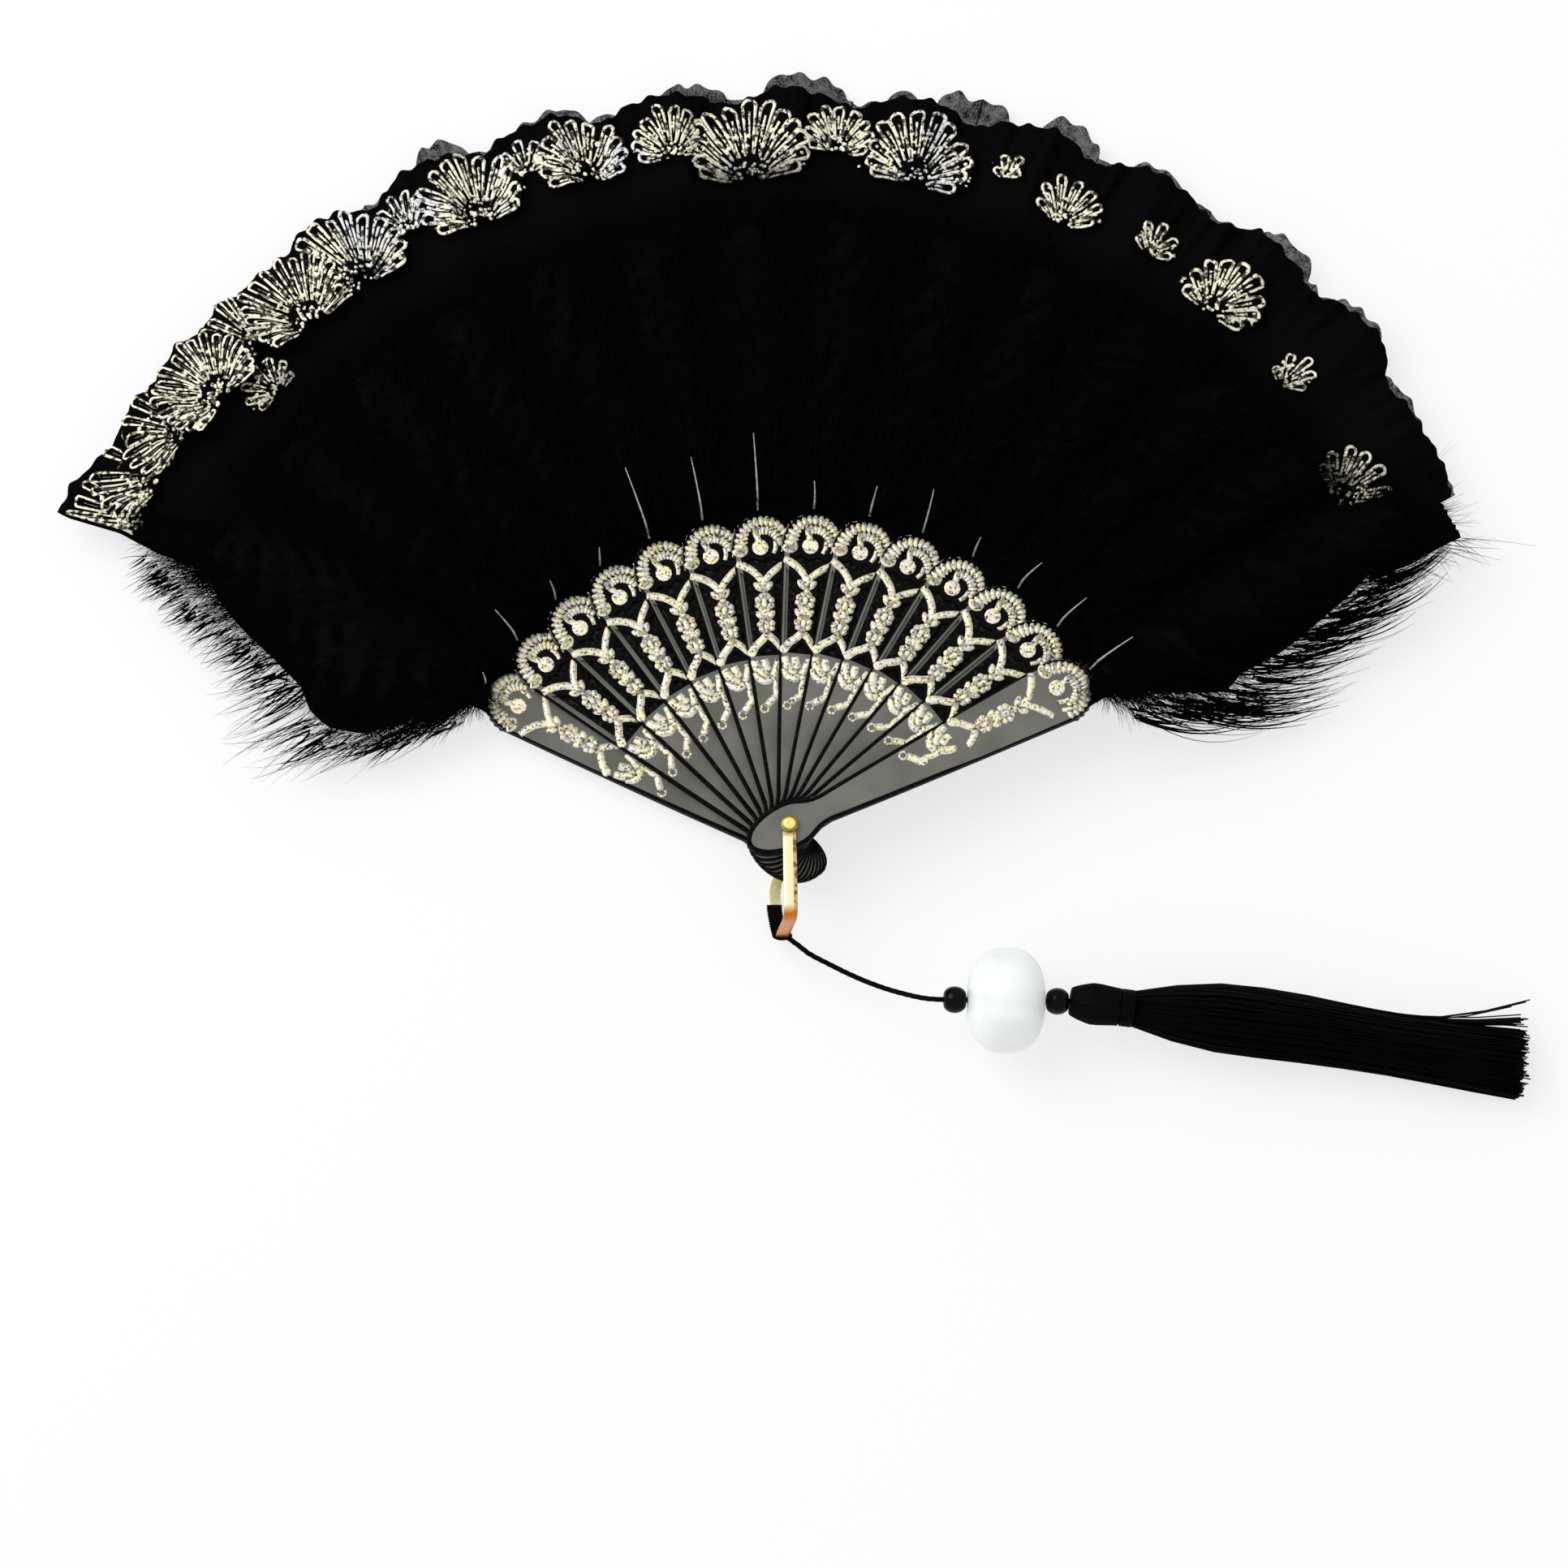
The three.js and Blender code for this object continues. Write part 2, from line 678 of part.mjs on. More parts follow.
// The big bead is carved into lobes, like a melon
function bigBead(distance) {
  const profile = beadProfile(bigBeadLength, bigBeadRadius, bigBeadRoundness, 8);
  const geometry = new THREE.LatheGeometry(profile, 4 * bigBeadLobes);
  const positions = geometry.getAttribute("position");
  for (let i = 0; i < positions.count; i += 1) {
    const x = positions.getX(i);
    const z = positions.getZ(i);
    const out = Math.hypot(x, z);
    const depth = (out - boreRadius) / (bigBeadRadius - boreRadius);
    const lobe = 1 - bigBeadLobeShare * depth * Math.cos(bigBeadLobes * Math.atan2(z, x) / 2) ** 8;
    positions.setX(i, x * lobe);
    positions.setZ(i, z * lobe);
  }
  return threaded(piece("big_bead", geometry, "clearBead"), distance);
}

// Half-width of the tassel at a distance from its top
function tasselHalf(distance) {
  const profile = new THREE.SplineCurve([
    [tasselHeadLength, bindingWidth],
    [tasselHeadLength + bindingLength, bindingWidth],
    [bellyDistance, bellyWidth],
    [waistDistance, waistWidth],
    [tasselLength, hemWidth],
  ].map(([x, y]) => new THREE.Vector2(x, y / 2)));
  const samples = profile.getPoints(60);
  const next = samples.findIndex((p) => p.x >= distance);
  if (next < 1) return samples[next === 0 ? 0 : samples.length - 1].y;
  const share = (distance - samples[next - 1].x) / (samples[next].x - samples[next - 1].x);
  return THREE.MathUtils.lerp(samples[next - 1].y, samples[next].y, share);
}

// Frame of the tassel: its top, its axis, the level direction across it and the one above it
function tasselFrame() {
  const [from, to] = tasselLine.map(vector);
  const axis = to.clone().sub(from).normalize();
  const acrossDirection = new THREE.Vector3(0, 0, 1).cross(axis).normalize();
  const above = axis.clone().cross(acrossDirection).normalize();
  return { from, axis, acrossDirection, above };
}

function tasselBore(length) {
  const { from, axis } = tasselFrame();
  const bore = new THREE.CylinderGeometry(boreRadius, boreRadius, length, 10);
  bore.applyQuaternion(new THREE.Quaternion().setFromUnitVectors(new THREE.Vector3(0, 1, 0), axis));
  const middle = from.clone().addScaledVector(axis, length / 2 - cordRadius);
  return bore.translate(middle.x, middle.y, middle.z);
}

// A closed body along the tassel's axis between two distances, with rings given by ringAt
function tasselBody(first, last, rings, segments, ringAt) {
  const { from, axis, acrossDirection, above } = tasselFrame();
  const positions = [];
  const index = [];
  for (let i = 0; i <= rings; i += 1) {
    const distance = THREE.MathUtils.lerp(first, last, i / rings);
    const centre = from.clone().addScaledVector(axis, distance);
    for (let j = 0; j < segments; j += 1) {
      const turn = (2 * Math.PI * j) / segments;
      const [across, up] = ringAt(distance, turn, centre.z);
      const point = centre.clone().addScaledVector(acrossDirection, across).addScaledVector(above, up);
      positions.push(...point.toArray());
    }
  }
  for (let i = 0; i < rings; i += 1) {
    for (let j = 0; j < segments; j += 1) {
      const a = i * segments + j;
      const b = i * segments + ((j + 1) % segments);
      index.push(a, b, b + segments, a, b + segments, a + segments);
    }
  }
  for (let j = 1; j < segments - 1; j += 1) {
    index.push(0, j + 1, j);
    const end = rings * segments;
    index.push(end, end + j, end + j + 1);
  }
  const geometry = new THREE.BufferGeometry();
  geometry.setAttribute("position", new THREE.Float32BufferAttribute(positions, 3));
  geometry.setIndex(index);
  return geometry;
}

function boredTasselPiece(name, geometry) {
  const body = toSolid(geometry).subtract(toSolid(tasselBore(cordInTassel + 2 * cordClearance)));
  return piece(name, fromSolid(body), "cord");
}

function tasselHead() {
  const geometry = tasselBody(0, tasselHeadLength - layerGap, 5, 12, (distance, turn) => {
    const share = (2 * distance) / (tasselHeadLength - layerGap) - 1;
    const half = (tasselHeadWidth / 2) * (1 - tasselHeadTaper * Math.abs(share) ** 3);
    return [half * Math.cos(turn), half * Math.sin(turn)];
  });
  return boredTasselPiece("tassel_head", geometry);
}

function tasselBinding() {
  const last = tasselHeadLength + bindingLength - layerGap;
  const geometry = tasselBody(tasselHeadLength, last, 6, 12, (distance, turn) => {
    const turns = Math.sin((3 * Math.PI * (distance - tasselHeadLength)) / (last - tasselHeadLength));
    const half = bindingWidth / 2 + (cordRadius / 2) * Math.abs(turns);
    return [half * Math.cos(turn), half * Math.sin(turn)];
  });
  return boredTasselPiece("tassel_binding", geometry);
}

// Skirt: strands in flutes, resting on the table from the middle of its length on
function tasselSkirt() {
  const first = tasselHeadLength + bindingLength;
  const geometry = tasselBody(first, tasselLength, 9, 3 * strandFlutes, (distance, turn, height) => {
    const half = tasselHalf(distance);
    const flute = 1 + fluteShare * Math.cos(strandFlutes * turn);
    const halfUp = Math.min(half * skirtFlatness, height - layerGap);
    return [half * Math.cos(turn) * flute, (halfUp * Math.sin(turn) * flute) / (1 + fluteShare)];
  });
  return boredTasselPiece("tassel_skirt", geometry);
}

function cordSet() {
  const set = new THREE.Group();
  const [from, to] = beadLine.map(vector);
  const middle = from.distanceTo(to) / 2;
  const apart = (bigBeadLength + smallBeadLength) / 2 + beadGap;
  set.add(cord(), smallBead("small_bead_near", middle - apart), bigBead(middle));
  set.add(smallBead("small_bead_far", middle + apart));
  set.add(tasselHead(), tasselBinding(), tasselSkirt());
  return set;
}

function stickAt(mesh, index) {
  mesh.rotation.z = stickAngle(index) - Math.PI / 2;
  mesh.position.z = layerBase(index);
  return mesh;
}

function fanBody() {
  const fan = new THREE.Group();
  fan.add(stickAt(guard("guard_back"), 0));
  for (let i = 1; i < lastStick; i += 1) {
    fan.add(stickAt(innerStick(`stick_${String(i + 1).padStart(2, "0")}`), i));
  }
  fan.add(stickAt(guard("guard_front"), lastStick));
  for (let i = 0; i < lastStick; i += 1) fan.add(lacePanel(i));
  for (let i = 0; i < stickCount; i += 1) fan.add(plume(i));
  fan.add(pivotPin(), bail(), cordLoop());
  return fan;
}

// The fan leans until it rests on the pin's lower head and on the ribs at its middle: their tips
// climb by one layer a step, and the pin's head hangs below the stack
function restingTilt() {
  const middle = lastStick / 2;
  const pinFoot = 2 * layerGap + bailThickness + pinHeadHeight;
  const climb = layerBase(1) + (middle - 1) * layerPitch + pinFoot;
  const middleAngle = stickAngle(middle);
  const outward = climb / ribTip;
  const sideways = layerPitch / foldStep / ribTip;
  return new THREE.Vector3(
    outward * Math.cos(middleAngle) + sideways * Math.sin(middleAngle),
    outward * Math.sin(middleAngle) - sideways * Math.cos(middleAngle),
    1,
  ).normalize();
}

// The fan stands on the table with the middle of its outline over the origin, and the cord set
// starts from the table under its pivot
function assemble() {
  const group = new THREE.Group();
  const fan = fanBody();
  fan.quaternion.setFromUnitVectors(new THREE.Vector3(0, 0, 1), restingTilt());
  fan.updateMatrixWorld(true);
  const loop = fan.getObjectByName("cord_loop");
  fan.remove(loop);
  const box = new THREE.Box3().setFromObject(fan, true);
  fan.add(loop);
  fan.position.set(-(box.min.x + box.max.x) / 2, -(box.min.y + box.max.y) / 2, -box.min.z);
  const set = cordSet();
  set.position.set(fan.position.x, fan.position.y, 0);
  group.add(fan, set);
  return group;
}

const group = assemble();

export default group;
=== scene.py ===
"""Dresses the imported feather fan: the printed scrolls, the lace leaf, the down plumes, the bail,
the cord with its beads, and the tassel. Metres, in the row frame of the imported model."""

import json

import bpy
import numpy as np
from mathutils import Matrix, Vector


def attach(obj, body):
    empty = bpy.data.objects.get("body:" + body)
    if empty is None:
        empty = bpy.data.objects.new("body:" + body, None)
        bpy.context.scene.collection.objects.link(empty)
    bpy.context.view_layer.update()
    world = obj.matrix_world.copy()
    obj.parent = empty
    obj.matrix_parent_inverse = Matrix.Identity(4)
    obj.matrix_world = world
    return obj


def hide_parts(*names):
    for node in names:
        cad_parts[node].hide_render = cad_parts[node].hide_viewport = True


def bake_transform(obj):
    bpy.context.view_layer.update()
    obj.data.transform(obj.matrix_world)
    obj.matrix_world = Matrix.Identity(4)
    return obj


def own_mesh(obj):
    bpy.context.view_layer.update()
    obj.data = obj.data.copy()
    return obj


bl_info = {
    "name": "Feather fan dressing",
    "version": (1, 0, 0),
    "blender": (4, 5, 0),
    "location": "3D View > Sidebar > Feather fan",
    "description": "Builds the looks of a folding feather fan around its packed frame",
    "category": "Object",
}

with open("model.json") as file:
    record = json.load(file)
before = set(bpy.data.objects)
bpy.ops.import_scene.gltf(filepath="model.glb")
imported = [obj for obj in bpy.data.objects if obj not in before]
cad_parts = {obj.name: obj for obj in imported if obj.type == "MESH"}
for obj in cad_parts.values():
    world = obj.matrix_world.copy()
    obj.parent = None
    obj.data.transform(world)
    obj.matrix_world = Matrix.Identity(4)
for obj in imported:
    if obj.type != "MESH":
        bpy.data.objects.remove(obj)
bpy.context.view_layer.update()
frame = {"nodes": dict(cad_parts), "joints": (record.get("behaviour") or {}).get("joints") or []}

mm = 0.001

# The open fan: angles are counter-clockwise from +X, seen from above
stick_count = 14
last_stick = stick_count - 1
back_guard_angle = np.radians(151.2)
fold_step = np.radians(9.5)
stick_thickness = 1.4 * mm
panel_floor = 0.5 * mm
guard_thickness = 2.5 * mm
rib_thickness = 0.7 * mm
layer_gap = 0.3 * mm
layer_pitch = stick_thickness + layer_gap

# Sticks: distances along a stick are measured from the pivot
head_end = 99.5 * mm
head_height = 10 * mm
head_width = 19 * mm
head_start = head_end - head_height
neck_distance = 12 * mm
neck_width = 8.4 * mm
flare_bend = 0.9
rib_width = 3 * mm
rib_tip = 213 * mm
blade_root_width = 12 * mm
blade_tip_width = 19 * mm

# Lace leaf
leaf_start = head_end + 1.5 * mm
leaf_edge = rib_tip + 17 * mm
lace_thickness = 0.4 * mm
lace_guard_overhang = 1.5 * mm
scallop_depth = 5 * mm
pleat_height = 5 * mm
last_pleat_share = 0.58
ruffle_start = 185 * mm
frill_start = 212 * mm
panel_rows, panel_columns = 61, 50
frill_rows, frill_columns = 91, 14
cloth_rest = 0.5 * mm
thread_seed = 40

# Down plumes
plume_root = head_end + 7 * mm
plume_tip = rib_tip - 15 * mm
front_plume_tip = rib_tip + 5 * mm
plume_height = 13 * mm
plume_lift = 0.8 * mm
wing_shoulder = 5 * mm
wing_reach = 35 * mm
front_wing_fall = 13 * mm
back_wing_fall = 2.4 * mm
plume_middle = 150 * mm
down_rest = 0.4 * mm
plume_seed = 100

# Pin and bail
pin_radius = 1.6 * mm
pin_head_radius = 2.4 * mm
pin_head_height = 0.9 * mm
bail_reach = 27.3 * mm
bail_width = 4 * mm
bail_thickness = 1 * mm
bail_corner = 4 * mm
bail_eye_radius = 2.5 * mm
bail_angle = np.radians(1)
bail_lean = -3.4 * mm

# Cord, beads and tassel
cord_radius = 0.8 * mm
loop_height = 3.5 * mm
bead_bore = 1.3 * mm
small_bead_length = 6.6 * mm
small_bead_radius = 3.7 * mm
big_bead_length = 22.4 * mm
big_bead_radius = 15.4 * mm
big_bead_lobes = 10
bead_gap = 0.4 * mm
tassel_head_length = 9.5 * mm
binding_length = 4.2 * mm
binding_width = 10.6 * mm
tassel_length = 129 * mm
skirt_seed = 7

# Route of the cord in millimetres, measured from the table under the pivot
cord_stretch = [
    (4.9, -30.6, 7.6), (6.6, -31.9, 7.2), (9.0, -33.3, 7.0), (12.6, -35.2, 7.3), (17.9, -38.1, 8.5),
    (23.9, -41.1, 10.3), (30.0, -43.7, 12.5), (35.8, -45.7, 14.7), (40.8, -47.0, 16.3),
]
bead_line = [(45.0, -47.4, 16.8), (83.1, -47.7, 15.0)]
tassel_line = [(87.6, -48.1, 14.6), (165.6, -57.0, 9.2)]

stick_bodies = ["back_guard"] + [f"stick_{i:02d}" for i in range(2, stick_count)] + ["front_guard"]
stick_nodes = ["guard_back"] + [f"stick_{i:02d}" for i in range(2, stick_count)] + ["guard_front"]

hinge = frame["joints"][0]
pivot = np.array(hinge["pos_m"])
hinge_axis = np.array(hinge["axis"]) / np.linalg.norm(hinge["axis"])
table_under_pivot = pivot * (1, 1, 0)


# Frames and heights


def tilt_of_fan():
    """Rotation of the fan frame, the shortest turn from straight up to the hinge axis: the identity,
    plus the axis's cross product matrix, plus that matrix squared over one and the axis's height."""
    x, y, z = hinge_axis
    cross = np.array([[0, 0, x], [0, 0, y], [-x, -y, 0]])
    return np.eye(3) + cross + cross @ cross / (1 + z)


fan_tilt = tilt_of_fan()


def from_fan(points):
    """Row-frame points from fan-frame points: the origin is the pivot at the back guard's underside."""
    return np.asarray(points) @ fan_tilt.T + pivot


def polar(angle, radius, height):
    """Fan-frame points from an angle, a distance from the pivot and a height."""
    return np.stack(np.broadcast_arrays(radius * np.cos(angle), radius * np.sin(angle), height), -1)


def stick_angle(index):
    """Angle of a stick's middle line: one fold step clockwise for each stick."""
    return back_guard_angle - index * fold_step


def layer_base(index):
    """Height of a stick's underside: the back guard, then one layer for each stick."""
    return 0.0 if index == 0 else guard_thickness + layer_gap + (index - 1) * layer_pitch


def stick_top(index):
    """Height of a stick's upper face: its underside and its own thickness."""
    return layer_base(index) + (guard_thickness if index in (0, last_stick) else stick_thickness)


def from_stick(index, across, along, height):
    """Row-frame points from places on a stick: across to its right, along from the pivot, and the
    height in the fan frame."""
    angle = stick_angle(index)
    x = along * np.cos(angle) + across * np.sin(angle)
    y = along * np.sin(angle) - across * np.cos(angle)
    return from_fan(np.stack(np.broadcast_arrays(x, y, height), -1))


def handle_half(distance):
    """Half the width of a handle: it flares from its neck to its head."""
    share = np.clip((distance - neck_distance) / (head_start - neck_distance), 0, 1)
    return (neck_width + (head_width - neck_width) * share**flare_bend) / 2


def blade_half(distance):
    """Half the width of a guard's blade, growing evenly from its root to its tip."""
    share = (distance - head_start) / (rib_tip - head_start)
    return (blade_root_width + (blade_tip_width - blade_root_width) * share) / 2


leaf_levels = np.array(
    [guard_thickness + layer_gap]
    + [layer_base(i) + rib_thickness + layer_gap for i in range(1, last_stick)]
    + [layer_base(last_stick) - layer_gap - lace_thickness]
)


def leaf_height(angle, radius):
    """Height of the leaf's underside: a climb from stick to stick, and between two sticks a crest of
    pleat height times sine squared, growing outwards; the last crest ends before the front guard."""
    fold = np.clip((back_guard_angle - angle) / fold_step, 0, last_stick)
    index = np.minimum(np.floor(fold), last_stick - 1).astype(int)
    across = fold - index
    level = leaf_levels[index] * (1 - across) + leaf_levels[index + 1] * across
    crest_share = np.where(index == last_stick - 1, last_pleat_share, 1.0)
    crest = np.sin(np.pi * np.minimum(across / crest_share, 1)) ** 2
    outwards = np.maximum(radius - leaf_start, 0) / (leaf_edge - leaf_start)
    return level + pleat_height * crest_share * outwards * crest


def plume_floor(index, angle, radius):
    """Height of a plume's underside: on the leaf or the front guard, drooping past the outer guards."""
    outside = angle - stick_angle(0) if index == 0 else stick_angle(last_stick) - angle
    past = np.maximum(outside * radius - blade_half(radius) - wing_shoulder, 0)
    droop = np.sin(np.pi / 2 * np.minimum(past / (wing_reach - blade_root_width / 2), 1)) ** 2
    if index == last_stick:
        return stick_top(last_stick) + layer_gap - front_wing_fall * droop
    base = leaf_height(angle, radius) + lace_thickness + plume_lift
    return base - back_wing_fall * droop if index == 0 else base


# Meshes


def unit(vectors):
    """Vectors of length one: each is divided by its length."""
    return vectors / np.maximum(np.linalg.norm(vectors, axis=-1, keepdims=True), 1e-12)


def build_mesh(name, vertices, faces, material, smooth=True):
    """A mesh object from vertex places and a list of face arrays, each of one face size."""
    mesh = bpy.data.meshes.new(name)
    vertices = np.ascontiguousarray(vertices, np.float32).reshape(-1, 3)
    corners = np.concatenate([face.ravel() for face in faces]).astype(np.int32)
    sizes = np.concatenate([np.full(len(face), face.shape[1]) for face in faces])
    mesh.vertices.add(len(vertices))
    mesh.vertices.foreach_set("co", vertices.ravel())
    mesh.loops.add(len(corners))
    mesh.loops.foreach_set("vertex_index", corners)
    mesh.polygons.add(len(sizes))
    mesh.polygons.foreach_set("loop_start", np.concatenate([[0], np.cumsum(sizes)[:-1]]).astype(np.int32))
    mesh.polygons.foreach_set("use_smooth", np.full(len(sizes), smooth))
    mesh.update(calc_edges=True)
    mesh.materials.append(material)
    piece = bpy.data.objects.new(name, mesh)
    bpy.context.scene.collection.objects.link(piece)
    return piece


def rings(points):
    """Vertices and faces of closed tubes from rings of points: tube, ring, place round the ring.

    Neighbouring rings are joined by quads, and the first and last ring are closed by caps. The
    rings run clockwise, seen along the tube, so the faces point out."""
    tubes, count, sides = points.shape[:3]
    start = np.arange(tubes)[:, None, None] * count * sides + np.arange(count - 1)[:, None] * sides
    here = start + np.arange(sides)
    beside = start + (np.arange(sides) + 1) % sides
    quads = np.stack([here, here + sides, beside + sides, beside], -1).reshape(-1, 4)
    first = np.arange(tubes)[:, None] * count * sides + np.arange(sides)
    caps = np.concatenate([first, first[:, ::-1] + (count - 1) * sides])
    return points.reshape(-1, 3), [quads, caps]


def sweep(paths, half_width, half_height, up, sides=4):
    """Closed tubes along paths: at each point of a path stands a polygon in an ellipse, square to the
    path, with its full width level and its height towards 'up'."""
    forward = unit(np.gradient(paths, axis=1))
    side = unit(np.cross(forward, up))
    rise = np.cross(side, forward)
    turn = 2 * np.pi * (np.arange(sides) + 0.5) / sides
    shape = paths.shape[:2]
    corner = np.cos(turn) / np.abs(np.cos(turn)).max()
    wide = np.broadcast_to(half_width, shape)[..., None, None] * corner[:, None]
    high = np.broadcast_to(half_height, shape)[..., None, None] * np.sin(turn)[:, None]
    return rings(paths[:, :, None] + side[:, :, None] * wide + rise[:, :, None] * high)


def joined(parts):
    """One vertex array and one face list from several."""
    vertices = np.concatenate([part[0] for part in parts])
    offsets = np.cumsum([0] + [len(part[0]) for part in parts])
    faces = [face + offset for part, offset in zip(parts, offsets) for face in part[1]]
    return vertices, faces


def grid_faces(rows, columns):
    """Quads of an open grid whose columns run to the left, seen from its outer side."""
    here = np.arange(rows - 1)[:, None] * columns + np.arange(columns - 1)
    return np.stack([here, here + 1, here + columns + 1, here + columns], -1).reshape(-1, 4)


def smooth_path(points, steps):
    """Even steps along a curve through the points: a uniform Catmull-Rom spline."""
    points = np.asarray(points, float)
    padded = np.concatenate([[2 * points[0] - points[1]], points, [2 * points[-1] - points[-2]]])
    place = np.linspace(0, len(points) - 1, steps)
    index = np.minimum(place.astype(int), len(points) - 2)
    t = (place - index)[:, None]
    a, b, c, d = (padded[index + k] for k in range(4))
    return 0.5 * (2 * b + (c - a) * t + (2 * a - 5 * b + 4 * c - d) * t**2 + (3 * b - a - 3 * c + d) * t**3)


def way_along(path):
    """Distance covered at each point of a path, from its start."""
    return np.concatenate([[0], np.cumsum(np.linalg.norm(np.diff(path, axis=0), axis=1))])


def turned_profile(profile, steps, centre, axis, lobe=None):
    """A surface of revolution: a closed profile of distances along and out from an axis, carried
    round it. lobe gives the share of the outward distance by turn and profile point."""
    axis = unit(np.asarray(axis, float))
    side = unit(np.cross(axis, (0.0, 0.0, 1.0)))
    rise = np.cross(side, axis)
    turn = 2 * np.pi * np.arange(steps) / steps
    out = profile[:, 1] * (np.ones((steps, 1)) if lobe is None else lobe(turn[:, None], profile[:, 1]))
    around = np.cos(turn)[:, None] * side + np.sin(turn)[:, None] * rise
    points = centre + profile[:, 0, None] * axis + around[:, None] * out[..., None]
    count = len(profile)
    here = np.arange(steps)[:, None] * count + np.arange(count)
    ahead = (np.arange(steps)[:, None] + 1) % steps * count + np.arange(count)
    faces = np.stack([here, ahead, np.roll(ahead, -1, 1), np.roll(here, -1, 1)], -1).reshape(-1, 4)
    return points.reshape(-1, 3), [faces]


def dress(piece, body, nodes=()):
    """Lets a piece ride on its body and stand for its nodes."""
    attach(piece, body)
    if nodes:
        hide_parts(*nodes)
    return piece


# Materials


def new_material(name, color, roughness, metallic=0.0, **sockets):
    """A material with one Principled shader; sockets are further constants set on the shader itself."""
    material = bpy.data.materials.new(name)
    material.use_nodes = True
    material.diffuse_color = (*color, 1.0)
    shader = material.node_tree.nodes["Principled BSDF"]
    shader.inputs["Base Color"].default_value = (*color, 1.0)
    shader.inputs["Roughness"].default_value = roughness
    shader.inputs["Metallic"].default_value = metallic
    for socket, value in sockets.items():
        shader.inputs[socket.replace("_", " ")].default_value = value
    return material, material.node_tree, shader


def add_node(tree, kind, values=(), **settings):
    """A node with its settings and the values of its inputs, by place or name."""
    node = tree.nodes.new(kind)
    for setting, value in settings.items():
        setattr(node, setting, value)
    for key, value in dict(values).items():
        node.inputs[key].default_value = value
    return node


def object_noise(tree, scale, detail=4.0, stretch=(1.0, 1.0, 1.0)):
    """Noise over Object coordinates, stretched by a Mapping node."""
    place = add_node(tree, "ShaderNodeTexCoord")
    mapping = add_node(tree, "ShaderNodeMapping", {"Scale": stretch})
    noise = add_node(tree, "ShaderNodeTexNoise", {"Scale": scale, "Detail": detail})
    tree.links.new(place.outputs["Object"], mapping.inputs["Vector"])
    tree.links.new(mapping.outputs["Vector"], noise.inputs["Vector"])
    return noise.outputs["Fac"]


def ramp(tree, factor, stops):
    """A colour ramp over a factor, from (position, colour) stops."""
    node = add_node(tree, "ShaderNodeValToRGB")
    elements = node.color_ramp.elements
    while len(elements) < len(stops):
        elements.new(0.5)
    for element, (position, color) in zip(elements, stops):
        element.position = position
        element.color = (*color, 1.0)
    tree.links.new(factor, node.inputs["Fac"])
    return node.outputs["Color"]


def bump(tree, shader, height, strength, distance):
    """Relief in a shader's surface from a height link."""
    node = add_node(tree, "ShaderNodeBump", {"Strength": strength, "Distance": distance})
    tree.links.new(height, node.inputs["Height"])
    tree.links.new(node.outputs["Normal"], shader.inputs["Normal"])


def plain_math(tree, operation, first, second=0.0, third=0.0):
    """A Math node whose first value is a link; the others are constants or links."""
    node = add_node(tree, "ShaderNodeMath", operation=operation)
    for slot, value in enumerate((first, second, third)):
        if isinstance(value, (int, float)):
            node.inputs[slot].default_value = value
        else:
            tree.links.new(value, node.inputs[slot])
    return node.outputs["Value"]


def mixed(tree, factor, first, second):
    """A colour between two, which are colours or links."""
    node = add_node(tree, "ShaderNodeMix", data_type="RGBA")
    tree.links.new(factor, node.inputs["Factor"])
    for name, value in (("A", first), ("B", second)):
        if isinstance(value, bpy.types.NodeSocket):
            tree.links.new(value, node.inputs[name])
        else:
            node.inputs[name].default_value = (*value, 1.0)
    return node.outputs["Result"]


def multiplied(tree, first, second):
    """The product of two colour links."""
    node = add_node(tree, "ShaderNodeMix", {"Factor": 1.0}, data_type="RGBA", blend_type="MULTIPLY")
    tree.links.new(first, node.inputs["A"])
    tree.links.new(second, node.inputs["B"])
    return node.outputs["Result"]


def ranged(tree, value, limits):
    """A value link carried from one range to another; limits holds the ends that aren't 0 or 1."""
    node = add_node(tree, "ShaderNodeMapRange", limits)
    tree.links.new(value, node.inputs["Value"])
    return node.outputs["Result"]


def flat_length(tree, first, second):
    """Length of a flat vector from links for its two shares: the root of the sum of their squares."""
    squares = plain_math(tree, "MULTIPLY_ADD", first, first, plain_math(tree, "MULTIPLY", second, second))
    return plain_math(tree, "SQRT", squares)


def toned(name, color, roughness, noise, stops, **sockets):
    """A material whose colour drifts with noise: a stop is a noise value and a share of the colour."""
    color = np.array(color)
    material, tree, shader = new_material(name, tuple(color), roughness, **sockets)
    tone = ramp(tree, object_noise(tree, *noise), [(place, color * share) for place, share in stops])
    tree.links.new(tone, shader.inputs["Base Color"])
    return material, tree, shader


def dotted(tree, vector, direction):
    """Share of a vector link along a direction."""
    node = add_node(tree, "ShaderNodeVectorMath", {1: tuple(direction)}, operation="DOT_PRODUCT")
    tree.links.new(vector, node.inputs[0])
    return node.outputs["Value"]


def from_pivot(tree):
    """Vector link from the pivot to the shaded point, in Object coordinates."""
    place = add_node(tree, "ShaderNodeTexCoord")
    node = add_node(tree, "ShaderNodeVectorMath", {1: tuple(pivot)}, operation="SUBTRACT")
    tree.links.new(place.outputs["Object"], node.inputs[0])
    return node.outputs["Vector"]


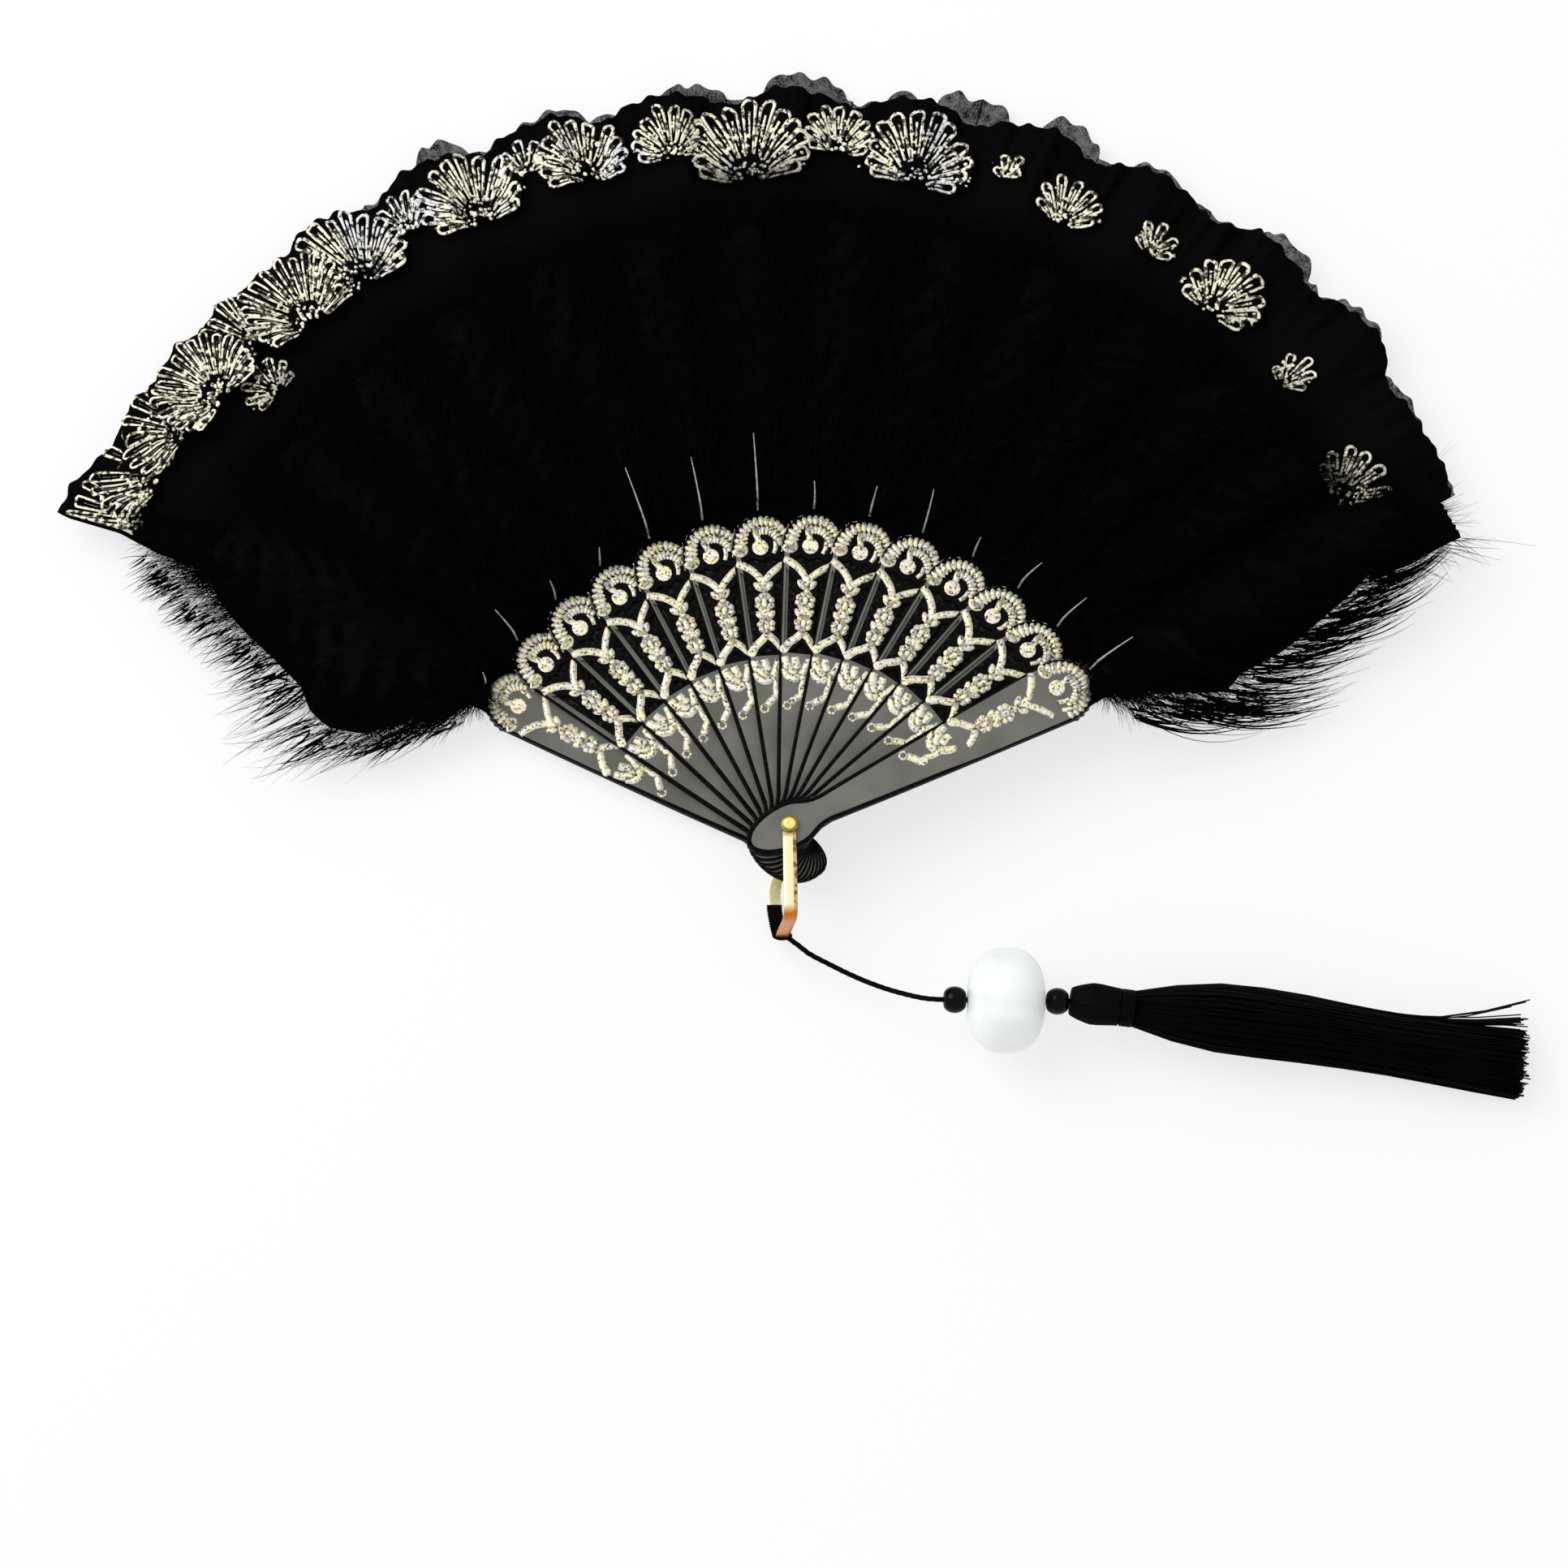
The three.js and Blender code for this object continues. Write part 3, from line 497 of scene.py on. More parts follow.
def stick_places(tree):
    """Links for the shaded point's layer, its height within it, and its place across and along the
    stick of that layer: height over layer pitch tells the stick, and the polar angle less the stick's
    own angle gives the place."""
    x, y, height = (dotted(tree, from_pivot(tree), axis) for axis in fan_tilt.T)
    above = plain_math(tree, "SUBTRACT", height, guard_thickness + layer_gap - 0.05 * mm)
    layer = plain_math(tree, "FLOOR", plain_math(tree, "DIVIDE", above, layer_pitch))
    in_layer = plain_math(tree, "FLOORED_MODULO", above, layer_pitch)
    turned = plain_math(tree, "MULTIPLY_ADD", layer, float(fold_step), float(fold_step - back_guard_angle))
    angle = plain_math(tree, "ADD", plain_math(tree, "ARCTAN2", y, x), turned)
    radius = flat_length(tree, x, y)
    along = plain_math(tree, "MULTIPLY", plain_math(tree, "COSINE", angle), radius)
    to_left = plain_math(tree, "MULTIPLY", radius, -1.0)
    across = plain_math(tree, "MULTIPLY", plain_math(tree, "SINE", angle), to_left)
    return layer, in_layer, across, along


def stick_plastic(settings):
    """Satin grey-olive plastic with a fine moulded grain. The side walls are black, a painted shade of the
    narrow gaps between the stacked sticks. On the twelve sticks between the guards the top face beyond
    55.6 mm from the pivot is black, up to a thin grey line along the left edge, and the floors of the
    sunk panels are black and mottled."""
    color = np.array(settings.plastic_color)
    black = np.array((0.0015, 0.0015, 0.0015))
    material, tree, shader = new_material("stick_plastic", tuple(color), 0.6, Specular_IOR_Level=0.06)
    cloud = ramp(tree, object_noise(tree, 60.0), [(0.35, color * 0.82), (0.7, color * 1.15)])
    layer, in_layer, across, along = stick_places(tree)
    from_edge = plain_math(tree, "MULTIPLY_ADD", along, 0.063, plain_math(tree, "ADD", across, 3.86 * mm))
    tests = [
        plain_math(tree, "COMPARE", layer, 5.5, 5.9),
        plain_math(tree, "GREATER_THAN", along, 55.6 * mm),
        plain_math(tree, "GREATER_THAN", from_edge, 2.1 * mm),
    ]
    is_zone = plain_math(tree, "MULTIPLY", tests[0], plain_math(tree, "MULTIPLY", tests[1], tests[2]))
    is_floor = plain_math(tree, "COMPARE", in_layer, panel_floor + 0.05 * mm, 0.06 * mm)
    mottle = ramp(tree, object_noise(tree, 900.0, 3.0), [(0.52, black * 0.6), (0.75, color * 0.2)])
    normal = add_node(tree, "ShaderNodeNewGeometry")
    part = add_node(tree, "ShaderNodeSeparateXYZ")
    tree.links.new(normal.outputs["True Normal"], part.inputs["Vector"])
    # Faces that point neither up nor down are the side walls: they take black, a painted shade of the gaps
    # between the stacked sticks
    flat = plain_math(tree, "GREATER_THAN", plain_math(tree, "ABSOLUTE", part.outputs["Z"]), 0.6)
    face = mixed(tree, is_zone, cloud, mixed(tree, is_floor, black, mottle))
    tree.links.new(mixed(tree, flat, black, face), shader.inputs["Base Color"])
    bump(tree, shader, object_noise(tree, 2600.0, 2.0), 0.18, 0.0001)
    return material


def rim_and_gap_shade_black():
    """Matt black of the sticks' rim lines, rubbed in places: partly their dark edges and partly a painted
    shade of the gaps between the sticks.
    """
    stops = [(0.55, 1), (0.75, 6)]
    return toned("rim_and_gap_shade_black", (0.002, 0.002, 0.002), 0.7, (700.0, 3.0), stops, Specular_IOR_Level=0.05)[0]


def printed_foil(settings):
    """Pale champagne foil, worn and grainy: dark flecks break it, and its tone drifts from cream to tan
    and to a cool grey."""
    color = np.array(settings.foil_color)
    material, tree, shader = new_material("printed_foil", tuple(color), 0.45, 0.25)
    tones = [(0.35, color * (0.8, 0.8, 0.98)), (0.5, color), (0.68, color * (1, 0.94, 0.74))]
    drift = ramp(tree, object_noise(tree, 420.0, 2.0), tones)
    flecks = ramp(
        tree,
        object_noise(tree, 1250.0, 3.0),
        [(0.34, (0.05, 0.045, 0.035)), (0.41, (0.55, 0.53, 0.48)), (0.48, (1.0, 1.0, 1.0))],
    )
    tree.links.new(multiplied(tree, drift, flecks), shader.inputs["Base Color"])
    bump(tree, shader, object_noise(tree, 1400.0, 2.0), 0.5, 0.0002)
    return material


def net_lace(settings):
    """Matt black lace cloth, with the mesh of its net as a relief."""
    color = tuple(settings.net_color)
    material, tree, shader = new_material("net_lace", color, 1.0, Specular_IOR_Level=0.03)
    place = add_node(tree, "ShaderNodeTexCoord")
    net = {"Scale": settings.net_cells, "Randomness": 0.35}
    cells = add_node(tree, "ShaderNodeTexVoronoi", net, feature="DISTANCE_TO_EDGE")
    tree.links.new(place.outputs["Object"], cells.inputs["Vector"])
    bump(tree, shader, cells.outputs["Distance"], 0.6, 0.0003)
    return material


def sheer_net(settings):
    """Fine black tulle: light passes through it, more between its soft folds than in them, and a rolled
    hem of thread shows as a darker grain."""
    color = tuple(settings.net_color)
    material, tree, shader = new_material("sheer_net", color, 1.0, Specular_IOR_Level=0.03)
    limits = {"From Min": 0.36, "From Max": 0.62, "To Min": settings.frill_veil}
    folds = ranged(tree, object_noise(tree, 260.0, 3.0), limits)
    limits = {"From Min": 0.4, "From Max": 0.6, "To Min": 0.9}
    grain = ranged(tree, object_noise(tree, 1500.0, 1.0), limits)
    tree.links.new(plain_math(tree, "MULTIPLY", folds, grain), shader.inputs["Alpha"])
    return material


def metal_thread(settings):
    """Pale gold thread, silver in places, broken by dark flecks, and darker towards the down, a painted
    shade of the down that lies over it: its tone follows the distance from the pivot plus a share of
    the way to the right or left, where the down ends nearer to the pivot."""
    gold, silver = np.array(settings.gold_color), np.array(settings.silver_color)
    material, tree, shader = new_material("metal_thread", tuple(gold), 0.5, 0.15)
    tint = ramp(tree, object_noise(tree, 34.0, 1.0), [(0.54, gold), (0.66, silver)])
    dark, clear = (0.03, 0.026, 0.018), (1.0, 1.0, 1.0)
    grain = ramp(tree, object_noise(tree, 620.0, 4.0), [(0.41, dark), (0.51, clear)])
    place = from_pivot(tree)
    length = add_node(tree, "ShaderNodeVectorMath", operation="LENGTH")
    tree.links.new(place, length.inputs[0])
    right = dotted(tree, place, (1, 0, 0))
    shares = [plain_math(tree, "MULTIPLY", right, share) for share in (0.16, -0.045)]
    distance = plain_math(tree, "ADD", plain_math(tree, "MAXIMUM", *shares), length.outputs["Value"])
    # Painted shade of the down: the colour falls from full to a tenth between 216 mm and 204 mm out
    outwards = ranged(tree, distance, {"From Min": 204 * mm, "From Max": 216 * mm, "To Min": 0.1})
    color = multiplied(tree, multiplied(tree, tint, grain), outwards)
    tree.links.new(color, shader.inputs["Base Color"])
    bump(tree, shader, object_noise(tree, 1800.0, 1.0), 0.6, 0.0002)
    return material


def down_black(settings):
    """Deep black down, quite matt."""
    stops = [(0.3, 0.5), (0.75, 1.8)]
    return toned("down_black", settings.down_color, 1.0, (300.0, 3.0), stops, Specular_IOR_Level=0.04)[0]


def horn_quill():
    """Light grey horn of the bare quill ends."""
    return toned("horn_quill", (0.36, 0.35, 0.33), 0.4, (500.0, 2.0), [(0.3, 0.6), (0.7, 1.3)])[0]


def gilt_metal():
    """Polished gilt: a yellow pin head in an olive eye, the olive a painted shade of the sides of the head
    and the eye, a pale strip that is tan and notched along its right edge, and a deep orange base, a
    painted shade where the strip bends up. The tone follows the way out along the bail and across it."""
    # deep: the orange of the base, a painted shade where the strip bends up
    pale, deep, tan = np.array((1.0, 0.93, 0.52)), np.array((0.62, 0.18, 0.005)), np.array((0.72, 0.46, 0.2))
    # olive: a painted shade on the sides of the pin head and on the eye round it
    olive, yellow = (0.42, 0.33, 0.06), (1.0, 0.84, 0.27)
    material, tree, shader = new_material("gilt_metal", tuple(pale), 0.3, 0.5)
    place = from_pivot(tree)
    out = fan_tilt @ (np.sin(bail_angle), -np.cos(bail_angle), 0)
    right = fan_tilt @ (np.cos(bail_angle), np.sin(bail_angle), 0)
    along, across = dotted(tree, place, out), dotted(tree, place, right)
    reach = ranged(tree, along, {"From Min": bail_reach - 3.5 * mm, "From Max": bail_reach - mm})
    notches = ramp(tree, object_noise(tree, 520.0, 1.0), [(0.4, tan * 0.25), (0.5, tan)])
    strip = mixed(tree, plain_math(tree, "GREATER_THAN", across, 0.9 * mm), pale, notches)
    strip = mixed(tree, reach, strip, deep)
    radius = flat_length(tree, along, across)
    head = mixed(tree, plain_math(tree, "LESS_THAN", radius, 1.6 * mm), olive, yellow)
    in_eye = plain_math(tree, "LESS_THAN", radius, 2.7 * mm)
    tree.links.new(mixed(tree, in_eye, strip, head), shader.inputs["Base Color"])
    rough = ranged(tree, object_noise(tree, 700.0, 3.0), {"To Min": 0.12, "To Max": 0.4})
    tree.links.new(rough, shader.inputs["Roughness"])
    return material


def spun_fibre(name, color, roughness, scale):
    """Black spun fibre with fine lengthwise filaments."""
    stops = [(0.3, 0.5), (0.72, 2.0)]
    material, tree, shader = toned(name, color, roughness, (scale, 3.0), stops, Specular_IOR_Level=0.05)
    bump(tree, shader, object_noise(tree, scale * 2, 2.0), 0.4, 0.0001)
    return material


def black_glass():
    """Gloss black bead with the faint waviness of a moulded surface."""
    material, tree, shader = new_material("black_glass", (0.001, 0.001, 0.001), 0.1, Specular_IOR_Level=0.1)
    bump(tree, shader, object_noise(tree, 300.0, 1.0), 0.05, 0.0003)
    return material


def frosted_bead(settings):
    """Milky white resin, frosted, cloudy and a little warmer in places."""
    material, tree, shader = toned(
        "frosted_bead", settings.bead_color, 0.4, (75.0, 3.0), [(0.42, 1), (0.62, (0.93, 0.925, 0.89))],
        Transmission_Weight=0.12, IOR=1.45, Subsurface_Weight=0.15, Specular_IOR_Level=0.3,
    )
    rough = ranged(tree, object_noise(tree, 220.0, 3.0), {"To Min": 0.22, "To Max": 0.6})
    tree.links.new(rough, shader.inputs["Roughness"])
    bump(tree, shader, object_noise(tree, 420.0, 2.0), 0.3, 0.0005)
    return material


# Printed scrolls of the sticks, in millimetres across and along a stick

ornament_middle = -1.2
stroke_steps = 13


def stroke(points, halves):
    """A curve through the points with a half-width at each of them, in even steps."""
    path = smooth_path(points, stroke_steps)
    width = np.interp(np.linspace(0, 1, stroke_steps), np.linspace(0, 1, len(halves)), halves)
    return path, width


def petals(roots, tips, half):
    """Straight almond strokes from roots to tips: the half-width follows sine to the power 0.6."""
    share = np.linspace(0, 1, stroke_steps)
    roots, tips = np.asarray(roots, float), np.asarray(tips, float)
    paths = roots[:, None] + (tips - roots)[:, None] * share[:, None]
    widths = np.asarray(half)[..., None] * (0.06 + np.sin(np.pi * share) ** 0.6)
    return paths, np.broadcast_to(widths, paths.shape[:2])


def circlets(centres, radii, half):
    """Small rings: circles round the centres."""
    turn = np.linspace(0, 2 * np.pi, stroke_steps)
    around = np.stack([np.cos(turn), np.sin(turn)], -1)
    paths = np.asarray(centres, float)[:, None] + np.asarray(radii)[:, None, None] * around
    return paths, np.full(paths.shape[:2], half)


def head_shell():
    """The shell of a head: petals side by side between two ellipses round the head's foot, the inner
    one drawn in at the left, and a second row of petals right of the eye."""
    foot = np.array([0, head_start / mm])
    turn = np.radians(np.linspace(-4, 190, 17))
    inner = 0.64 - 0.12 * np.exp(-(((turn - np.radians(165)) / 0.5) ** 2))
    ellipse = np.stack([head_width / 2 / mm * np.cos(turn), head_height / mm * np.sin(turn)], -1)
    band = petals(foot + ellipse * inner[:, None], foot + ellipse * 0.96, 0.8)
    turn = np.radians(np.linspace(8, 118, 9))
    ellipse = np.stack([head_width / 2 / mm * np.cos(turn), head_height / mm * np.sin(turn)], -1)
    return [band, petals(foot + ellipse * 0.36, foot + ellipse * 0.66, 0.66)]


def leaf_pair(height, half):
    """Two pointed leaves that rise to both sides of the vine from one height."""
    m = ornament_middle
    roots = np.array([(m, height), (m, height)])
    return petals(roots, roots + [(-2.8, 2.7), (2.8, 2.7)], half)


def flower(centre, inner, outer, count, half):
    """Petals round a dark eye."""
    turn = 2 * np.pi * np.arange(count) / count + 0.3
    ring = np.stack([np.cos(turn), np.sin(turn)], -1)
    return petals(centre + ring * inner, centre + ring * outer, half)


def handle_scrolls():
    """All strokes of a handle: the head's shell, dot and curls, the forked arms, the vine of leaves and
    flowers, the chevron, and the leafy C-scroll with its curled tail."""
    m = ornament_middle
    single = [
        stroke(
            [(-9.1, 88.9), (-8.3, 87.9), (-7.0, 87.6), (-5.9, 88.4), (-5.8, 89.8)],
            [0.9, 1.1, 1.15, 1.05, 0.7],
        ),
        stroke([(m, 89.6), (-1.6, 91.6), (-2.3, 93.8), (-1.8, 95.2)], [1.0, 0.9, 0.9, 0.8]),
        stroke([(3.4, 91.0), (3.3, 88.8), (2.6, 87.2)], [0.6, 0.65, 0.55]),
        stroke([(6.4, 92.2), (6.3, 89.6), (5.4, 87.4)], [0.9, 0.8, 0.6]),
        stroke(
            [(-8.7, 84.5), (-6.6, 83.7), (-4.3, 82.2), (-2.5, 80.3), (m, 78.0)],
            [1.0, 1.15, 1.1, 1.1, 1.0],
        ),
        stroke([(6.2, 84.3), (4.4, 83.2), (2.2, 81.6), (0.4, 80.0), (m, 78.0)], [0.8, 1.0, 1.05, 1.0, 1.0]),
        stroke([(m, 78), (m + 0.2, 74), (m - 0.2, 70), (m + 0.2, 66), (m, 62)], [1.0, 0.85, 0.8, 0.8, 0.9]),
        stroke([(m, 62.2), (-2.9, 60.3), (-4.7, 58.7), (-6.0, 56.8)], [1.1, 1.15, 1.15, 1.3]),
        stroke([(m, 62.2), (0.5, 60.7), (1.7, 59.1), (2.7, 57.5)], [1.1, 1.05, 1.0, 0.9]),
        stroke([(-5.7, 54.4), (-5.0, 52.3), (-3.7, 50.4), (-2.0, 49.2)], [1.0, 1.3, 1.3, 1.1]),
        stroke([(-2.7, 54.5), (-2.2, 52.7), (-1.4, 51.0)], [1.1, 1.25, 1.0]),
        stroke([(1.5, 54.4), (1.2, 52.4), (0.5, 50.6), (-0.3, 49.2)], [0.9, 1.2, 1.2, 1.1]),
        stroke([(-5.6, 50.6), (-4.6, 48.8), (-2.7, 47.8), (-0.7, 48.4)], [0.8, 1.1, 1.2, 1.1]),
        stroke([(0.2, 49.2), (0.5, 47.2), (0.1, 45.3), (0.5, 43.7)], [1.1, 0.85, 0.85, 1.1]),
        stroke([(1.0, 43.6), (-0.4, 42.4), (-1.9, 41.2), (-3.0, 40.0)], [1.2, 1.15, 1.1, 1.0]),
    ]
    groups = [
        (np.stack([path for path, _ in single]), np.stack([width for _, width in single])),
        *head_shell(),
        leaf_pair(75.6, 1.0),
        flower((m, 72.0), 1.1, 3.1, 8, 1.0),
        leaf_pair(66.6, 1.0),
        flower((m, 65.0), 0.9, 2.8, 7, 0.95),
        flower((-3.5, 39.4), 0.7, 1.5, 6, 0.6),
    ]
    buttons = np.array([
        (m, 89.2, 2.45), (m, 78.6, 1.25), (m, 69.0, 1.15), (-6.1, 56.7, 1.35), (0.7, 43.8, 1.3),
    ])
    return np.concatenate([g[0] for g in groups]), np.concatenate([g[1] for g in groups]), buttons


def blade_scrolls():
    """Strokes of a guard's blade: a volute with a shell at the tip, then a waving stem whose leaves
    and curls grow smaller towards the handle."""
    turn = np.linspace(0.4, 2.0, 7) * 2 * np.pi
    radius = np.linspace(1.2, 6.4, 7)
    spiral = np.stack([radius * np.cos(turn), 188 + radius * np.sin(turn)], -1)
    volute = stroke(spiral, [0.4, 0.8, 1.0, 1.1, 1.2, 1.1, 0.8])
    along = np.linspace(183, 106, 19)
    stem = np.stack([3.0 * np.sin((along - 106) / 9.0), along], -1)
    pieces = [stroke(stem[i : i + 4], [0.55, 0.6, 0.6, 0.55]) for i in range(0, 16, 3)]
    crests = np.arange(5)
    crest_y = 120 + 14 * crests
    side = np.where(crests % 2 == 0, 1.0, -1.0)
    spread = np.radians(np.linspace(20, 160, 9))
    fan = np.stack([np.cos(spread), np.sin(spread)], -1)
    shell = petals((0, 188) + fan * 7.0, (0, 188) + fan * 9.6 * (0.9, 1.5), 0.6)
    roots = np.stack([side * 0.5, crest_y], -1)
    leaves = []
    for size in range(3):
        reach = np.stack([side * (2.5 + size), 2.2 * size - 2 + 0 * side], -1)
        leaves.append(petals(roots, roots + reach, 0.7))
    curls = circlets(np.stack([-side * 3.4, crest_y + 5.5], -1), np.linspace(0.9, 1.7, 5), 0.42)
    groups = [shell, curls, *leaves]
    paths = [np.stack([p for p, _ in (volute, *pieces)]), *[g[0] for g in groups]]
    widths = [np.stack([w for _, w in (volute, *pieces)]), *[g[1] for g in groups]]
    buttons = np.stack([side * 4.2, crest_y - 3.0, np.linspace(0.6, 1.1, 5)], -1)
    return np.concatenate(paths), np.concatenate(widths), buttons


def print_on(name, index, strokes, height, facing, material):
    """Foil ribbons and buttons on a stick's face: each is a low, closed tube or dome a tenth of a
    millimetre proud of the plastic."""
    paths, widths, buttons = strokes
    rise = 0.06 * mm
    level = height + facing * 0.04 * mm
    places = from_stick(index, paths[..., 0] * mm, paths[..., 1] * mm, level)
    ribbons = sweep(places, widths * mm, rise, hinge_axis)
    share = np.array([0.02, 0.5, 0.8, 0.97, 1.0, 0.98, 0.02])
    lift = np.array([1.9, 1.6, 1.15, 0.55, 0.0, -0.4, -0.4]) * rise * facing
    turn = 2 * np.pi * np.arange(12) / 12
    across = buttons[:, 0, None, None] + buttons[:, 2, None, None] * share[:, None] * np.cos(facing * turn)
    along = buttons[:, 1, None, None] + buttons[:, 2, None, None] * share[:, None] * np.sin(facing * turn)
    domes = from_stick(index, across * mm, along * mm, level + lift[:, None] + 0 * across)
    vertices, faces = joined([ribbons, rings(domes)])
    return build_mesh(name, vertices, faces, material)


def handle_outline():
    """Right half of a handle's outline in millimetres, from the bottom of its round end, by the waist
    and the flaring side, to the top of its head."""
    turn = np.linspace(0, np.pi / 2, 9)
    heel = np.stack([7 * np.sin(turn), -13.5 * np.cos(turn)], -1)
    t = np.linspace(0, 1, 8)[1:-1, None]
    ends = np.array([(7.0, 0.0), (7.0, 6.0), (4.2, 6.0), (4.2, 12.0)])
    waist = ends[0] * (1 - t) ** 3 + 3 * ends[1] * t * (1 - t) ** 2
    waist = waist + 3 * ends[2] * t**2 * (1 - t) + ends[3] * t**3
    along = np.linspace(neck_distance, head_start, 14)
    side = np.stack([handle_half(along), along], -1) / mm
    head = np.stack([9.5 * np.cos(turn), 89.5 + 10 * np.sin(turn)], -1)[1:]
    return np.concatenate([heel, waist, side, head])


def rim_and_gap_shade_lines(index, material):
    """Black rim lines of a handle, partly its dark edge and partly a painted shade of the gap beside the
    next stick: a flat line inside each half of its outline, broad at the round end and the waist,
    narrow beside the sunk panels, and thin on the side that the next stick covers."""
    line = handle_outline()
    half = np.interp(line[:, 1], [-13, 8, 48, 58, 99], [0.72, 0.6, 0.5, 0.27, 0.35])
    forward = unit(np.gradient(line, axis=0))
    inward = np.stack([-forward[:, 1], forward[:, 0]], -1)
    paths, widths = [], []
    for side, share in ((-1, 1.0), (1, 1.0 if index == last_stick else 0.4)):
        inset = line + inward * (half * share)[:, None]
        places = from_stick(index, side * inset[:, 0] * mm, inset[:, 1] * mm, stick_top(index) + 0.02 * mm)
        paths.append(places)
        widths.append(half * share * mm)
    vertices, faces = sweep(np.stack(paths), np.stack(widths), 0.03 * mm, hinge_axis)
    return build_mesh(f"rim_and_gap_shade_lines_{index + 1:02d}", vertices, faces, material)


# Lace leaf


def ruffle(fold, out):
    """Ruffle of the leaf's edge as a height and a shift outwards, in metres, growing with 'out'."""
    wave = 0.5 + 0.5 * np.sin(2 * np.pi * (2.0 * fold + 0.13))
    fine = np.sin(2 * np.pi * (5.0 * fold + 0.31 + 0.12 * np.sin(fold * 2.1)))
    height = out**1.6 * (3.4 * wave + 0.8 * fine) * mm
    bow = np.sin(np.pi * (2.0 * fold + 0.9 + 0.1 * np.sin(fold * 1.7))) ** 2
    shift = out**2 * (1.8 * bow - 0.6 + 0.2 * fine) * mm
    return height, shift


def panel_place(index, across, radius, lift=0.0):
    """Row-frame point of a panel from its share across and its distance from the pivot: on the pleated
    leaf, raised by the ruffle outside the down, and never under the table. Neighbouring panels lap over
    each other a little, and the first panel's edge swings out over the guard's tip."""
    left_half = rib_width / 2
    if index == 0:
        swing = 2.4 * np.clip((radius / mm - 190) / 15, 0, 1) + 3.6 * np.clip((radius / mm - 218) / 16, 0, 1)
        left_half = blade_half(radius) + lace_guard_overhang + swing * mm
    right_half = 0.0 if index == last_stick - 1 else rib_width / 2 - 0.5 * mm
    left = stick_angle(index) + left_half / radius
    right = stick_angle(index + 1) + right_half / radius
    angle = left + (right - left) * across
    out = np.clip((radius - ruffle_start) / (leaf_edge - ruffle_start), 0, 1.3)
    height, shift = ruffle(index + across, out)
    base = leaf_height(angle, radius) + lace_thickness / 2
    points = from_fan(polar(angle, radius + shift, base + height + lift))
    points[..., 2] = np.maximum(points[..., 2], cloth_rest + 0.6 * np.maximum(lift, 0))
    return points


def edge_gain(fold):
    """The leaf reaches a little further out than its plain arc, and falls back by the front guard."""
    stations = [0, 2, 3.5, 5, 7, 9, 11, 11.7, 12.3, 13]
    return np.interp(fold, stations, [3.0, 4.0, 5.5, 4.0, 2.5, 3.5, 4.0, 3.0, -3.5, -4.0]) * mm


def panel_edge(index, across):
    """Outer edge of a panel: arches between the sticks, fine picots, and a point past the back guard."""
    notch = 0.7 * scallop_depth * (1 - np.sin(np.pi * np.clip(across, 0, 1)))
    edge = leaf_edge + edge_gain(index + across) - notch
    picots = 0.5 * mm * np.sin(9 * np.pi * across) ** 2
    tip = 8.0 * mm * np.exp(-((across / 0.3) ** 2)) if index == 0 else 0.0
    return edge + picots + tip


def lace_panel(index, material):
    """The net of one panel: a grid across the fold, from the rims of the heads outwards to the edge."""
    across = np.linspace(1, 0, panel_rows)[:, None]
    along = np.linspace(0, 1, panel_columns)[None] ** 0.7
    fold = across * 1.45 - 0.45 if index == 0 else across
    from_axis = np.minimum(np.abs(fold), 1 - fold) * fold_step * 97 * mm
    rim = np.sqrt(np.clip(1 - (2 * from_axis / head_width) ** 2, 0, 1))
    foot = head_start + 0.03 * mm + head_height * rim
    radius = foot + (panel_edge(index, across) - foot) * along
    points = panel_place(index, across, radius)
    faces = [grid_faces(panel_rows, panel_columns)]
    piece = build_mesh(f"net_panel_{index + 1:02d}", points, faces, material)
    return piece, points


def tip_cap(material):
    """The leaf's end, laid over the front guard's tip: a strip of net with a straight right side, a cut
    corner and a finely waved outer edge."""
    across = np.linspace(12.4, -9.5, 23)[:, None]
    share = np.linspace(0, 1, 25)[None]
    near = 187 + 0.4 * (12.4 - across)
    far = 218.2 + 0.7 * np.sin(1.3 * across) ** 2
    along = near + (far - near) * share
    height = stick_top(last_stick) + (0.6 + 0.25 * np.sin(0.9 * across + 0.4 * along)) * mm
    points = from_stick(last_stick, across * mm, along * mm, height)
    return build_mesh("tip_cap", points, [grid_faces(*along.shape)], material)


